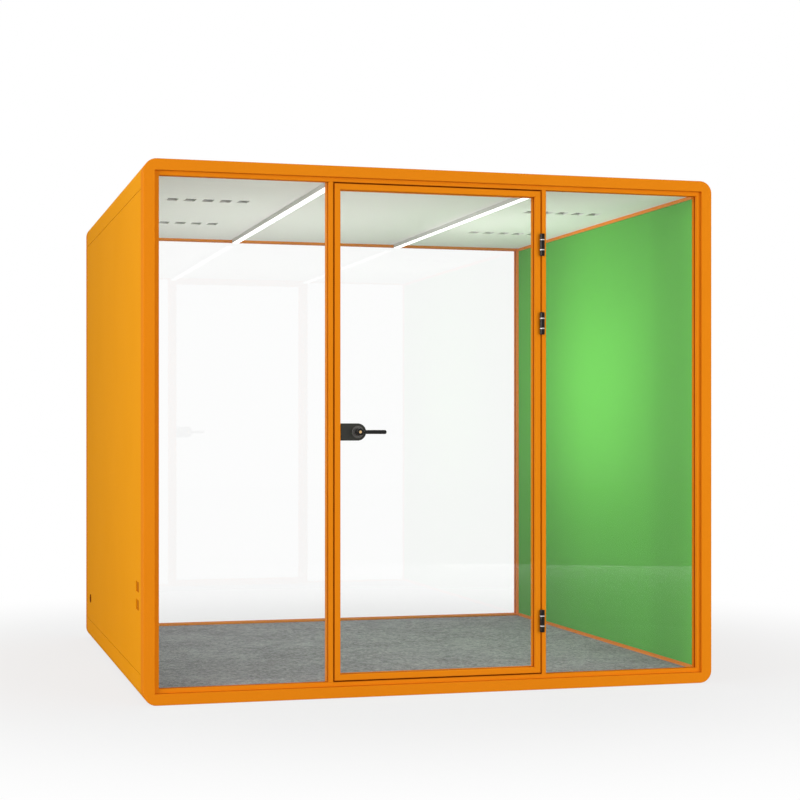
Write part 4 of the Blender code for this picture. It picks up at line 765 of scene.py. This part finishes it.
@dataclass
class Shell:
    """The rings, rails and folded panels of the outside, and what fills them."""

    ring_corner: float = 0.056
    ring_wall: float = 0.003
    ring_round: float = 0.003
    ring_edge: float = 0.0012
    ring_width: float = 0.048
    rim_width: float = 0.067
    rim_step: float = 0.016
    front_reaches: Pair = (0.095, 0.060)
    rear_reaches: Pair = (0.078, 0.098)
    pocket_floor: float = 0.053
    pocket_from: float = 0.0347
    pocket_to: float = 0.0513
    groove_width: float = 0.002
    groove_depth: float = 0.004
    groove_root: float = 0.0003
    hidden_round: float = 0.0004
    round_share: float = 1.2
    panel_edge: float = 0.0006
    core_edge: float = 0.004
    shade_plate_from_front: float = 0.155
    shade_plate_length: float = 0.108
    shade_plate_height: float = 0.044
    shade_plate_levels: Pair = (0.384, 0.462)
    shade_plate_faces: Pair = (0.0045, 0.0096)
    shade_plate_slack: float = 0.0004
    shade_plate_corner: float = 0.002
    shade_plate_edge: float = 0.0006
    rails: tuple[str, ...] = ("rail_top_left", "rail_top_right", "rail_bottom_left", "rail_bottom_right")
    panels: tuple[str, ...] = ("roof_panel", "base_tray", "left_outer_panel", "right_outer_panel")
    cores: tuple[str, ...] = ("floor_core", "roof_core", "left_wall_core", "right_wall_core")

    def build(self) -> None:
        """Dress the outside and its filling."""
        self.ring("front_ring", -1, *self.front_reaches)
        self.ring("rear_ring", 1, *self.rear_reaches)
        for node in self.rails + self.panels:
            refined(node, SIDE_LIT_PANEL_PAINT, self.panel_edge)
        for node in self.cores:
            refined(node, WOOL, self.core_edge)
        Grommet().build()
        self.recess_shade_plates()

    def ring(self, node: str, way: int, wall_reach: float, rim_reach: float) -> None:
        """A ring with soft rims, and a fine shadow groove where its slimmer inner rim starts.

        The section is a closed outline of pairs (i, d): i is how far a point lies inside the ring's
        outside, and d how far behind its face. Each point becomes a rectangle drawn in by i. On the
        outer wall, where i is under round_share walls, its corners have the radius ring_corner - i,
        and elsewhere they are square.

        Args:
            node: the ring's CAD node.
            way: -1 where its outer face looks forward, else 1.
            wall_reach: how far the outer wall reaches behind the face.
            rim_reach: how far the inner rim reaches behind the face.
        """
        low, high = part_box(node)
        face = low.y if way < 0 else high.y
        half, wall, width, rim = (high.x - low.x) / 2, self.ring_wall, self.ring_width, self.rim_width
        foot, slim, inside = self.rim_step + self.groove_depth, width + self.groove_width, width - wall
        floor, start, end = self.pocket_floor, self.pocket_from, self.pocket_to
        corners = [
            (0.0, 0.0), (width, 0.0), (width, foot), (slim, foot), (slim, self.rim_step),
            (rim, self.rim_step), (rim, start), (floor, start), (floor, end), (rim, end),
            (rim, rim_reach), (inside, rim_reach), (inside, wall), (wall, wall),
            (wall, wall_reach), (0.0, wall_reach),
        ]
        radii = [self.ring_round, self.ring_edge, 0.0, 0.0, self.groove_root, self.ring_edge]
        radii += [self.hidden_round] * (len(corners) - len(radii))
        section = fillet(corners, radii, 4)
        rows = []
        for inset, depth in np.vstack([section, section[:1]]).tolist():
            radius = self.ring_corner - inset if inset < self.round_share * wall else 0.0
            loop = rectangle((low.z + inset, inset - half), (high.z - inset, half - inset))
            outline = fillet(loop, radius, 12)
            rows.append(across(Axis.Y, face - way * depth, *outline.T))
        made = Surface(np.vstack(rows), grid_faces(len(rows), len(rows[0]), True))
        keep_flats(made.piece(f"{node}_finished", FRAME_PAINT, Body.SHELL, node))
        if way < 0:
            self.pocket_fill(low.z, high.z, face)

    def pocket_fill(self, foot: float, head: float, face: float) -> None:
        """Fill the front ring's pocket over and under the door, where it holds no glass."""
        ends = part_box("mullion_left")[1].x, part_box("mullion_right")[0].x
        near, far = face + self.pocket_from, face + self.pocket_to
        floor, rim = self.pocket_floor, self.rim_width
        levels = ((foot + floor, foot + rim), (head - rim, head - floor))
        outlines = (np.array(rectangle((near, low), (far, high))) for low, high in levels)
        sill, lintel = (slab(outline, *ends, Axis.X) for outline in outlines)
        (sill + lintel).piece("front_ring_sill_and_lintel", FRAME_PAINT, Body.SHELL)

    def recess_shade_plates(self) -> None:
        """A darker orange plate in each of the left panel's two recesses: painted shade, standing in for the
        shadow inside them.
        """
        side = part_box("left_outer_panel")[0].x
        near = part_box("front_ring")[0].y + self.shade_plate_from_front + self.shade_plate_slack
        far = near + self.shade_plate_length - 2 * self.shade_plate_slack
        for number, level in enumerate(self.shade_plate_levels, 1):
            foot, head = level + self.shade_plate_slack, level + self.shade_plate_height - self.shade_plate_slack
            outline = fillet(rectangle((near, foot), (far, head)), self.shade_plate_corner)
            faces = (side + depth for depth in self.shade_plate_faces)
            plate = slab(outline, *faces, Axis.X, self.shade_plate_edge, 2)
            plate.piece(f"recess_shade_plate_{number}", RECESS_SHADE_ORANGE, Body.SHELL)


@dataclass
class Grommet:
    """The cable grommet: a domed flange outside, a neck through the sheet and a flange inside.

    rim_shares are the outer flange's dish, rim foot and rim crest as shares of its radius. The
    other sizes are depths from the grommet's outer face.
    """

    rim_shares: tuple[float, float, float] = (0.62, 0.66, 0.86)
    dish: float = 0.0022
    outer_flange: float = 0.0033
    neck_end: float = 0.0062
    inner_flange: float = 0.0091
    neck_inset: float = 0.005

    def build(self) -> None:
        """Turn it about the middle of its node."""
        low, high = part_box("cable_grommet")
        middle = (low + high) / 2
        reach = (high.z - low.z) / 2
        neck = reach - self.neck_inset
        bowl, foot, crest = (reach * share for share in self.rim_shares)
        corners = [
            (0.0, self.dish), (bowl, self.dish), (foot, 0.0), (crest, 0.0), (reach, self.outer_flange),
            (neck, self.outer_flange), (neck, self.neck_end), (reach, self.neck_end),
            (reach, self.inner_flange), (0.0, self.inner_flange),
        ]
        profile = rounded_profile(corners, [0.0008, 0.0007, 0.0012, 0.0007, 0.0002, 0.0002, 0.0005, 0.001])
        turned = lathe(profile, (low.x, middle.y, middle.z), Axis.X)
        turned.piece("cable_grommet_moulded", GROMMET_RUBBER, Body.SHELL, "cable_grommet")


@dataclass
class Room:
    """The lining, floor and ceiling inside."""

    felt_edge: float = 0.0015
    carpet_edge: float = 0.003
    board_edge: float = 0.0008
    cloth_gap: float = 0.0004
    cloth_thickness: float = 0.0008
    cloth_margin: float = 0.006
    cloth_corner: float = 0.004
    board_margins: Pair = (0.1, 0.2)

    def build(self) -> None:
        """Dress the room."""
        for side, finish in (("left", GREY_FELT), ("right", GREEN_FELT)):
            low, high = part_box(f"{side}_felt_panel")
            outline = np.array(rectangle((low.y, low.z), (high.y, high.z)))
            panel = slab(outline, low.x, high.x, Axis.X, self.felt_edge)
            made = panel.piece(f"{side}_felt_lining", finish, Body.SHELL, f"{side}_felt_panel")
            refined(f"{side}_wall_trim", FRAME_PAINT, self.board_edge)
        refined("floor_deck", BOARD, self.board_edge)
        refined("ceiling_panel", CEILING_FELT, self.board_edge)
        self.carpet()
        self.slot_cloths()

    def carpet(self) -> None:
        """The carpet, cut square and laid on the deck between the walls."""
        low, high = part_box("carpet")
        outline = np.array(rectangle((low.x, low.y), (high.x, high.y)))
        laid = slab(outline, low.z, high.z, Axis.Z, self.carpet_edge)
        made = laid.piece("carpet_laid", CARPET, Body.SHELL, "carpet")

    def slot_cloths(self) -> None:
        """A strip of cloth over each row of slots, just above the ceiling board."""
        low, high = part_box("ceiling_panel")
        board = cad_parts["ceiling_panel"].data
        points = np.array([vertex.co for vertex in board.vertices])
        reach = np.array(high)[:2] - self.board_margins
        inside = points[(np.abs(points[:, :2]) < reach).all(1), :2]
        middle = (inside[:, 1].min() + inside[:, 1].max()) / 2
        base = high.z + self.cloth_gap
        strips = []
        for side, row in ((-1, -1), (-1, 1), (1, -1), (1, 1)):
            near = inside[(np.sign(inside[:, 0]) == side) & (np.sign(inside[:, 1] - middle) == row)]
            corners = rectangle(near.min(0) - self.cloth_margin, near.max(0) + self.cloth_margin)
            outline = fillet(corners, self.cloth_corner, 3)
            strips.append(slab(outline, base, base + self.cloth_thickness, Axis.Z))
        sum(strips[1:], strips[0]).piece("ceiling_slot_cloths", SLOT_CLOTH, Body.SHELL)


@dataclass
class Lights:
    """The two light strips and their driver."""

    housing_edge: float = 0.0005
    crown: float = 0.0015
    steps: int = 16

    def build(self) -> None:
        """Dress both strips and the driver."""
        for side in ("left", "right"):
            refined(f"light_housing_{side}", HOUSING_WHITE, self.housing_edge)
            self.diffuser(side)
        refined("led_driver", DRIVER_COAT, sharp=SHARP_UNROUNDED)

    def diffuser(self, side: str) -> None:
        """A strip whose underside bulges by crown * (1 - s squared), with s from -1 to 1 across it."""
        node = f"light_diffuser_{side}"
        low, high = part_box(node)
        share = np.linspace(-1.0, 1.0, self.steps + 1)
        middle = (low.x + high.x) / 2
        half = (high.x - low.x) / 2
        bulge = low.z + self.crown - self.crown * (1 - share**2)
        under = np.stack([middle + half * share, bulge], axis=1)
        section = np.vstack([under, [(high.x, high.z), (low.x, high.z)]])
        # Across Y the two other axes are Z then X, so the section is turned to that order.
        strip = slab(section[::-1, ::-1], low.y, high.y, Axis.Y)
        strip.piece(f"{node}_opal", DIFFUSER, Body.SHELL, node)


def pane(node: str, body: Body = Body.SHELL) -> None:
    """A pane and the rubber channel that holds it."""
    refined(node, GLASS, PANE_EDGE, body=body)
    refined(f"{node}_gasket", REVEAL_SHADE_RUBBER, RUBBER_EDGE, body=body)


def member(node: str, body: Body = Body.SHELL) -> None:
    """A mullion or a member of the door, with soft long edges."""
    refined(node, FRAME_PAINT, MEMBER_EDGE, 3, body, rim=SoftRim())


@dataclass
class Glazing:
    """The fixed panes, the mullions, and the door stop with its seal."""

    stop_edge: float = 0.0008
    seal_round: float = 0.0018
    strike_edge: float = 0.0004

    def build(self) -> None:
        """Dress the fixed glazing."""
        for node in ("left_glass", "right_glass", "rear_glass"):
            pane(node)
        for node in ("mullion_left", "mullion_right"):
            member(node)
        refined("door_stop_frame", FRAME_PAINT, self.stop_edge)
        refined("door_seal", REVEAL_SHADE_RUBBER, self.seal_round, 3)
        refined("strike_plate", PLATE_STEEL, self.strike_edge)


@dataclass
class Door:
    """The door leaf: four mitred members round a pane."""

    members: tuple[str, ...] = ("door_lock_stile", "door_hinge_stile", "door_top_rail", "door_bottom_rail")

    def build(self) -> None:
        """Dress the leaf."""
        for node in self.members:
            member(node, Body.DOOR)
        pane("door_glass", Body.DOOR)


@dataclass
class Hinge:
    """One barrel hinge: end knuckles on the frame with bright collars, and the door's knuckle."""

    level: str
    cap_round: float = 0.003
    collar_height: float = 0.004
    collar_shrink: float = 0.0005
    end_knuckle: float = 0.0255
    pin: float = 0.004
    running_gap: float = 0.0004
    rim: float = 0.0005
    collar_rim: float = 0.0004
    leaf_faces: Pair = (0.0003, 0.0027)
    leaf_start: float = 0.0125
    leaf_reach: float = 0.0476
    leaf_corner: float = 0.003
    leaf_edge: float = 0.0003

    def build(self) -> None:
        """Make the turned parts and dress the leaves."""
        frame_node = f"hinge_frame_{self.level}"
        door_node = f"hinge_door_{self.level}"
        low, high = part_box(frame_node)
        radius = (high.x - low.x) / 2
        half = (high.z - low.z) / 2
        place = ((low.x + high.x) / 2, low.y + radius, (low.z + high.z) / 2)
        inner = half - self.end_knuckle
        knuckle = rounded_profile(
            [(0.0, half), (radius, half), (radius, inner), (self.pin, inner), (0.0, inner)],
            [self.cap_round, self.rim, self.rim],
            5,
        )
        turned = self.pair(knuckle, place) + self.leaf(frame_node, place, 1)
        turned.piece(f"hinge_{self.level}_end_knuckles", GUNMETAL, Body.SHELL, frame_node)
        self.collars(place, radius, inner)
        moving = inner - self.collar_height - self.running_gap
        bore = self.pin + self.running_gap
        loop = fillet(rectangle((bore, -moving), (radius, moving)), self.rim, 3)
        door_knuckle = lathe(loop, place, Axis.Z) + self.leaf(door_node, place, -1)
        door_knuckle.piece(f"hinge_{self.level}_door_knuckle", GUNMETAL, Body.DOOR, door_node)

    @staticmethod
    def pair(profile: Array, place: Point) -> Surface:
        """A turned shape over the hinge's middle, and its mirror image below."""
        return lathe(profile, place, Axis.Z) + lathe(profile * (1.0, -1.0), place, Axis.Z)

    def collars(self, place: Point, radius: float, inner: float) -> None:
        """The two bright collars between the knuckles, on the pin."""
        low = inner - self.collar_height
        loop = fillet(rectangle((self.pin, low), (radius - self.collar_shrink, inner)), self.collar_rim, 3)
        pin = lathe(np.array([(0.0, low), (self.pin, low), (self.pin, -low), (0.0, -low)]), place, Axis.Z)
        (self.pair(loop, place) + pin).piece(f"hinge_{self.level}_collars", COLLAR_STEEL, Body.SHELL)

    def leaf(self, node: str, place: Point, side: int) -> Surface:
        """The butt leaf in the gap between door and mullion, as tall as the node's plate."""
        faces = sorted(place[0] + side * face for face in self.leaf_faces)
        start, end = place[1] + self.leaf_start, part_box(node)[1].y
        corners = rectangle((start, place[2] - self.leaf_reach), (end, place[2] + self.leaf_reach))
        return slab(fillet(corners, self.leaf_corner, 4), *faces, Axis.X, self.leaf_edge, 2)


@dataclass
class Lock:
    """The lever lock: cases, rose, levers, cylinder and latch.

    groove_steps are where the rose's groove starts, is deepest and ends, out from the hub, and
    hub_groove gives the same places on the hub as shares of its length.
    """

    corner: float = 0.007
    case_edge: float = 0.0022
    end_share: float = 0.9999
    rose_radius: float = 0.027
    rose_height: float = 0.003
    rose_rim: float = 0.0012
    rose_seat: float = 0.002
    groove_steps: tuple[float, float, float] = (0.0025, 0.003, 0.0036)
    groove_depth: float = 0.0006
    hub_radius: float = 0.0155
    hub_groove: tuple[float, float, float] = (0.62, 0.64, 0.66)
    bar_radius: float = 0.0088
    bar_root: float = 0.004
    bar_drop: float = 0.011
    neck_radius: float = 0.0062
    neck_length: float = 0.012
    neck_flare: float = 0.006
    spindle_radius: float = 0.007
    spindle_bore: float = 0.0036
    plug_radius: float = 0.0065
    plug_length: float = 0.0195
    tail_radius: float = 0.0032
    tail_middle: float = 0.06
    knob_length: float = 0.02
    knob_sink: float = 0.002
    turn_height: float = 0.012
    turn_half: float = 0.0035
    turn_corner: float = 0.0034
    turn_edge: float = 0.0012
    keyway: Pair = (0.004, 0.0007)
    keyway_corner: float = 0.0006
    keyway_depths: Pair = (-0.002, 0.005)
    latch_edge: float = 0.0006
    gap: float = 0.0004
    centre: Vector = field(default_factory=Vector)

    def build(self) -> None:
        """Make the lock's pieces."""
        low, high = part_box("key_cylinder")
        self.centre = (low + high) / 2
        for side in ("outside", "inside"):
            self.case(side)
        for side in ("outside", "inside"):
            self.lever(side)
        self.cylinder(low.y, high.y, (high.z - low.z) / 2)
        refined("latch_bolt", PLATE_STEEL, self.latch_edge, body=Body.LATCH)

    def at(self, depth: float) -> Point:
        """A point on the spindle's line."""
        return (self.centre.x, depth, self.centre.z)

    def upright(self, half_height: float, half_width: float, corner: float, steps: int) -> Array:
        """A rounded upright rectangle about the spindle's line, in the axes across Y, Z then X."""
        middle = np.array((self.centre.z, self.centre.x))
        half = np.array((half_height, half_width))
        return fillet(rectangle(middle - half, middle + half), corner, steps)

    def case(self, side: str) -> None:
        """A case with one half-round end and rounded rims, and the rose on the outside one."""
        node = f"lock_case_{side}"
        low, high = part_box(node)
        end = (high.z - low.z) / 2 * self.end_share
        # The outside case's box takes in its rose, so the case's own face stands back from it.
        face = low.y + (self.rose_height if side == "outside" else 0.0)
        # Across Y the two other axes are Z then X.
        radii = (self.corner, self.corner, end, end)
        outline = fillet(rectangle((low.z, low.x), (high.z, high.x)), radii, 16)
        shell = slab(outline, face, high.y, Axis.Y, self.case_edge, 5)
        shell.piece(f"{node}_coated", LOCK_BLACK, Body.DOOR, node)
        if side == "outside":
            self.rose(face).piece("outside_rose", ROSE_GREY_HIGHLIGHT, Body.DOOR)

    def rose(self, face: float) -> Surface:
        """A round disc with a soft rim and a fine groove, standing on the outside case's face."""
        top = -self.rose_height
        start, middle, end = (self.hub_radius + step for step in self.groove_steps)
        corners = [
            (0.0, top), (start, top), (middle, top + self.groove_depth), (end, top),
            (self.rose_radius - self.rose_rim, top), (self.rose_radius, 0.0), (0.0, self.rose_seat),
        ]
        profile = rounded_profile(corners, [0.0001, 0.0002, 0.0001, 0.0014, 0.0005])
        return lathe(profile, self.at(face), Axis.Y, 72)

    def lever(self, side: str) -> None:
        """A hub with a bar: the bar springs from a slim neck and ends in a dome."""
        node = f"{side}_lever"
        low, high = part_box(node)
        way = -1 if side == "outside" else 1
        outer = low.y if way < 0 else high.y
        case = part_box(f"lock_case_{side}")
        base = case[0].y + self.rose_height if way < 0 else case[1].y + self.gap
        length = abs(outer - base)
        hole, hub = self.plug_radius + self.gap, self.hub_radius
        start, middle, end = (length * share for share in self.hub_groove)
        corners = [
            (hole, 0.0), (hub, 0.0), (hub, start), (hub - self.groove_depth, middle), (hub, end),
            (hub, length), (hole, length),
        ]
        profile = rounded_profile(corners, [0.0006, 0.0002, 0.0003, 0.0002, 0.0022])
        profile[:, 1] *= way
        profile = np.vstack([profile, profile[-1:] * (1.0, 0.0)])
        made = lathe(profile, self.at(base), Axis.Y, 64)
        made = made + self.bar(outer - way * self.bar_drop, high.x - self.centre.x)
        if way < 0:
            shaft = np.array(rectangle((self.spindle_bore, 0.0), (self.spindle_radius, high.y - base)))
            made = made + lathe(shaft, self.at(base), Axis.Y, 32)
        made.piece(f"{node}_polished", LEVER_BLACK, Body.LEVERS, node)

    def bar(self, depth: float, reach: float) -> Surface:
        """The lever's bar about its own axis, from inside the hub's wall to its domed tip."""
        start = self.hub_radius - self.bar_root
        neck = self.hub_radius + self.neck_length
        corners = [
            (0.0, start), (self.neck_radius, start), (self.neck_radius, neck),
            (self.bar_radius, neck + self.neck_flare), (self.bar_radius, reach), (0.0, reach),
        ]
        profile = rounded_profile(corners, [0.0005, 0.003, 0.004, 0.0072], 8)
        return lathe(profile, self.at(depth), Axis.X, 40)

    def cylinder(self, face: float, back: float, turn_reach: float) -> None:
        """The key cylinder: a brass face with a keyway, its tail, and the thumb-turn inside.

        Args:
            face: where its face lies along Y.
            back: where its thumb-turn ends along Y.
            turn_reach: half the thumb-turn's height.
        """
        plug, tail = self.plug_radius, self.tail_radius
        shoulder = back - face - self.turn_height
        knob, sunk = shoulder - self.knob_length, shoulder + self.knob_sink
        step, middle = self.plug_length, self.tail_middle
        front = [(0.0, 0.0), (plug, 0.0), (plug, step), (tail, step), (tail, middle)]
        rear = [(tail, middle), (tail, knob), (plug, knob), (plug, sunk), (0.0, sunk)]
        radii = [0.0008, 0.0003, 0.0003]
        profile = np.vstack([rounded_profile(front, radii), rounded_profile(rear, radii[::-1])])
        outline = self.upright(turn_reach, self.turn_half, self.turn_corner, 6)
        paddle = slab(outline, back - self.turn_height, back, Axis.Y, self.turn_edge, 3)
        turned = lathe(profile, self.at(face), Axis.Y) + paddle
        made = turned.piece("key_cylinder_turned", BRASS, Body.KEY, "key_cylinder")
        slot = self.upright(*self.keyway, self.keyway_corner, 2)
        carve(made, slab(slot, *(face + depth for depth in self.keyway_depths), Axis.Y))


@dataclass
class Fan:
    """One roof fan: its moulded frame and its rotor."""

    side: str
    body: Body
    frame_edge: float = 0.0004
    frame_sharp: float = 35.0

    def build(self) -> None:
        """Dress the fan."""
        refined(f"fan_frame_{self.side}", FAN_PLASTIC, self.frame_edge, sharp=self.frame_sharp)
        refined(f"fan_rotor_{self.side}", FAN_PLASTIC, body=self.body, sharp=SHARP_UNROUNDED)


@dataclass(frozen=True)
class Lamp:
    """A square soft lamp that shows in no view and through no pane.

    place is its middle, aim the point that it faces, size its side in metres, power its watts and
    spread the angle in degrees of the cone that it lights. mirrored shows it in glossy surfaces.
    """

    name: str
    place: Point
    aim: Point
    size: float
    power: float
    spread: float = 180.0
    mirrored: bool = False

    def hang(self) -> None:
        """Put the lamp in the scene."""
        light = bpy.data.lights.new(self.name, "AREA")
        light.size = self.size
        light.energy = self.power
        light.spread = math.radians(self.spread)
        lamp = bpy.data.objects.new(self.name, light)
        lamp.visible_camera = False
        lamp.visible_glossy = self.mirrored
        lamp.visible_transmission = False
        lamp.location = self.place
        lamp.rotation_euler = (Vector(self.aim) - Vector(self.place)).to_track_quat("-Z", "Y").to_euler()
        bpy.context.scene.collection.objects.link(lamp)


@dataclass
class Studio:
    """The floor, the world's light, the lamps and the camera."""

    floor_size: float = 60.0
    lens: float = 77.92
    sensor: float = 36.0
    shift: float = 0.040
    heading: float = 15.54
    eye: Point = (-0.908, -7.276, 1.150)
    world_light: float = 0.60
    world_gloss: float = 0.40
    fade: Pair = (1.6, 4.0)
    base_white: float = 0.78
    floor_grey: float = 0.45
    lamps: tuple[Lamp, ...] = (
        Lamp("key", (-7.0, -3.8, 2.4), (0.0, 0.0, 1.1), 3.5, 272.0, mirrored=True),
        Lamp("fill", (4.0, -7.6, 0.5), (0.6, 0.0, 0.4), 4.0, 380.0),
        Lamp("rear", (1.5, 6.5, 4.2), (0.0, 0.0, 1.1), 5.0, 80.0),
        Lamp("ceiling_wash", (-0.35, 0.1, 0.12), (-0.35, 0.1, 2.2), 1.7, 12.2, 115.0),
        Lamp("floor_wash", (-0.1, 0.0, 2.15), (-0.1, 0.0, 0.1), 1.9, 5.5, 120.0),
        Lamp("wall_wash", (0.2, 0.0, 1.4), (1.2, 0.0, 1.4), 0.9, 7.6, 150.0),
    )

    def build(self) -> None:
        """Set up the view and the light."""
        self.floor()
        self.world()
        for lamp in self.lamps:
            lamp.hang()
        self.camera()
        bpy.context.scene.view_settings.view_transform = "Standard"

    def floor(self) -> None:
        """A pale matte floor that fades into the white background."""
        half = self.floor_size / 2
        mesh = bpy.data.meshes.new("studio_floor")
        corners = [(x, y, 0.0) for x, y in rectangle((-half, -half), (half, half))]
        mesh.from_pydata(corners, [], [(0, 1, 2, 3)])
        ground = bpy.data.objects.new("studio_floor", mesh)
        bpy.context.scene.collection.objects.link(ground)
        material = bpy.data.materials.new("studio_floor")
        material.use_nodes = True
        wiring = Wiring(material.node_tree)
        place = wiring.node("TexCoord").outputs["Object"]
        away = wiring.node("VectorMath", {"operation": "LENGTH"}, Vector=place).outputs["Value"]
        settings = {"interpolation_type": "SMOOTHSTEP"}
        near, far = self.fade
        fade = wiring.node(
            "MapRange", settings, Value=away, From_Min=near, From_Max=far, To_Min=self.base_white, To_Max=1.0
        )
        seen = wiring.either(wiring.node("LightPath"), "Camera", "Transmission")
        share = wiring.calculate("MULTIPLY", seen, fade.outputs[0])
        lit = wiring.node("BsdfDiffuse", Color=(*even(self.floor_grey), 1.0))
        white = wiring.node("Emission", Color=WHITE, Strength=1.0)
        mixed = wiring.listed("MixShader", (share, lit.outputs[0], white.outputs[0]))
        wiring.node("OutputMaterial", Surface=mixed)
        mesh.materials.append(material)

    def world(self) -> None:
        """White for the eye and through glass, a dim grey in gloss, and a soft light for all else."""
        world = bpy.data.worlds.new("studio_world")
        bpy.context.scene.world = world
        world.use_nodes = True
        wiring = Wiring(world.node_tree)
        rays = wiring.node("LightPath")
        seen = wiring.either(rays, "Camera", "Transmission")
        soft = wiring.calculate("MULTIPLY_ADD", seen, 1.0 - self.world_light, self.world_light)
        opaque = wiring.calculate("SUBTRACT", 1.0, rays.outputs["Is Transmission Ray"])
        mirrored = wiring.calculate("MULTIPLY", rays.outputs["Is Glossy Ray"], opaque)
        strength = wiring.calculate("MULTIPLY_ADD", mirrored, self.world_gloss - self.world_light, soft)
        back = wiring.node("Background", Color=WHITE, Strength=strength)
        wiring.node("OutputWorld", Surface=back.outputs[0])

    def camera(self) -> None:
        """A level camera placed from the front ring's lower left corner."""
        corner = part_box("front_ring")[0]
        data = bpy.data.cameras.new("photo_camera")
        data.lens = self.lens
        data.sensor_width = self.sensor
        data.shift_y = self.shift
        eye = bpy.data.objects.new("photo_camera", data)
        eye.location = corner + Vector(self.eye)
        eye.rotation_euler = (math.pi / 2, 0.0, -math.radians(self.heading))
        bpy.context.scene.collection.objects.link(eye)
        bpy.context.scene.camera = eye


def main() -> None:
    """Dress the pod part by part, light it and keep its size."""
    logging.basicConfig(level=logging.INFO, format="%(message)s")
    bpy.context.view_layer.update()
    Studio().build()
    Shell().build()
    Room().build()
    Lights().build()
    Glazing().build()
    Door().build()
    for level in ("top", "middle", "bottom"):
        Hinge(level).build()
    Lock().build()
    Fan("left", Body.LEFT_FAN).build()
    Fan("right", Body.RIGHT_FAN).build()


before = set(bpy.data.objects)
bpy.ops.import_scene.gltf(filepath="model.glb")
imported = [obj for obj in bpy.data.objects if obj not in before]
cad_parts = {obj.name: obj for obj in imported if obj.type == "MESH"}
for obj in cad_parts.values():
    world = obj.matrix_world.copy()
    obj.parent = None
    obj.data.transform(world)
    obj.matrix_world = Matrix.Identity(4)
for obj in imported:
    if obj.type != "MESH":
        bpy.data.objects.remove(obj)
GROUPS = PatternGroups()

if __name__ == "__main__":
    main()
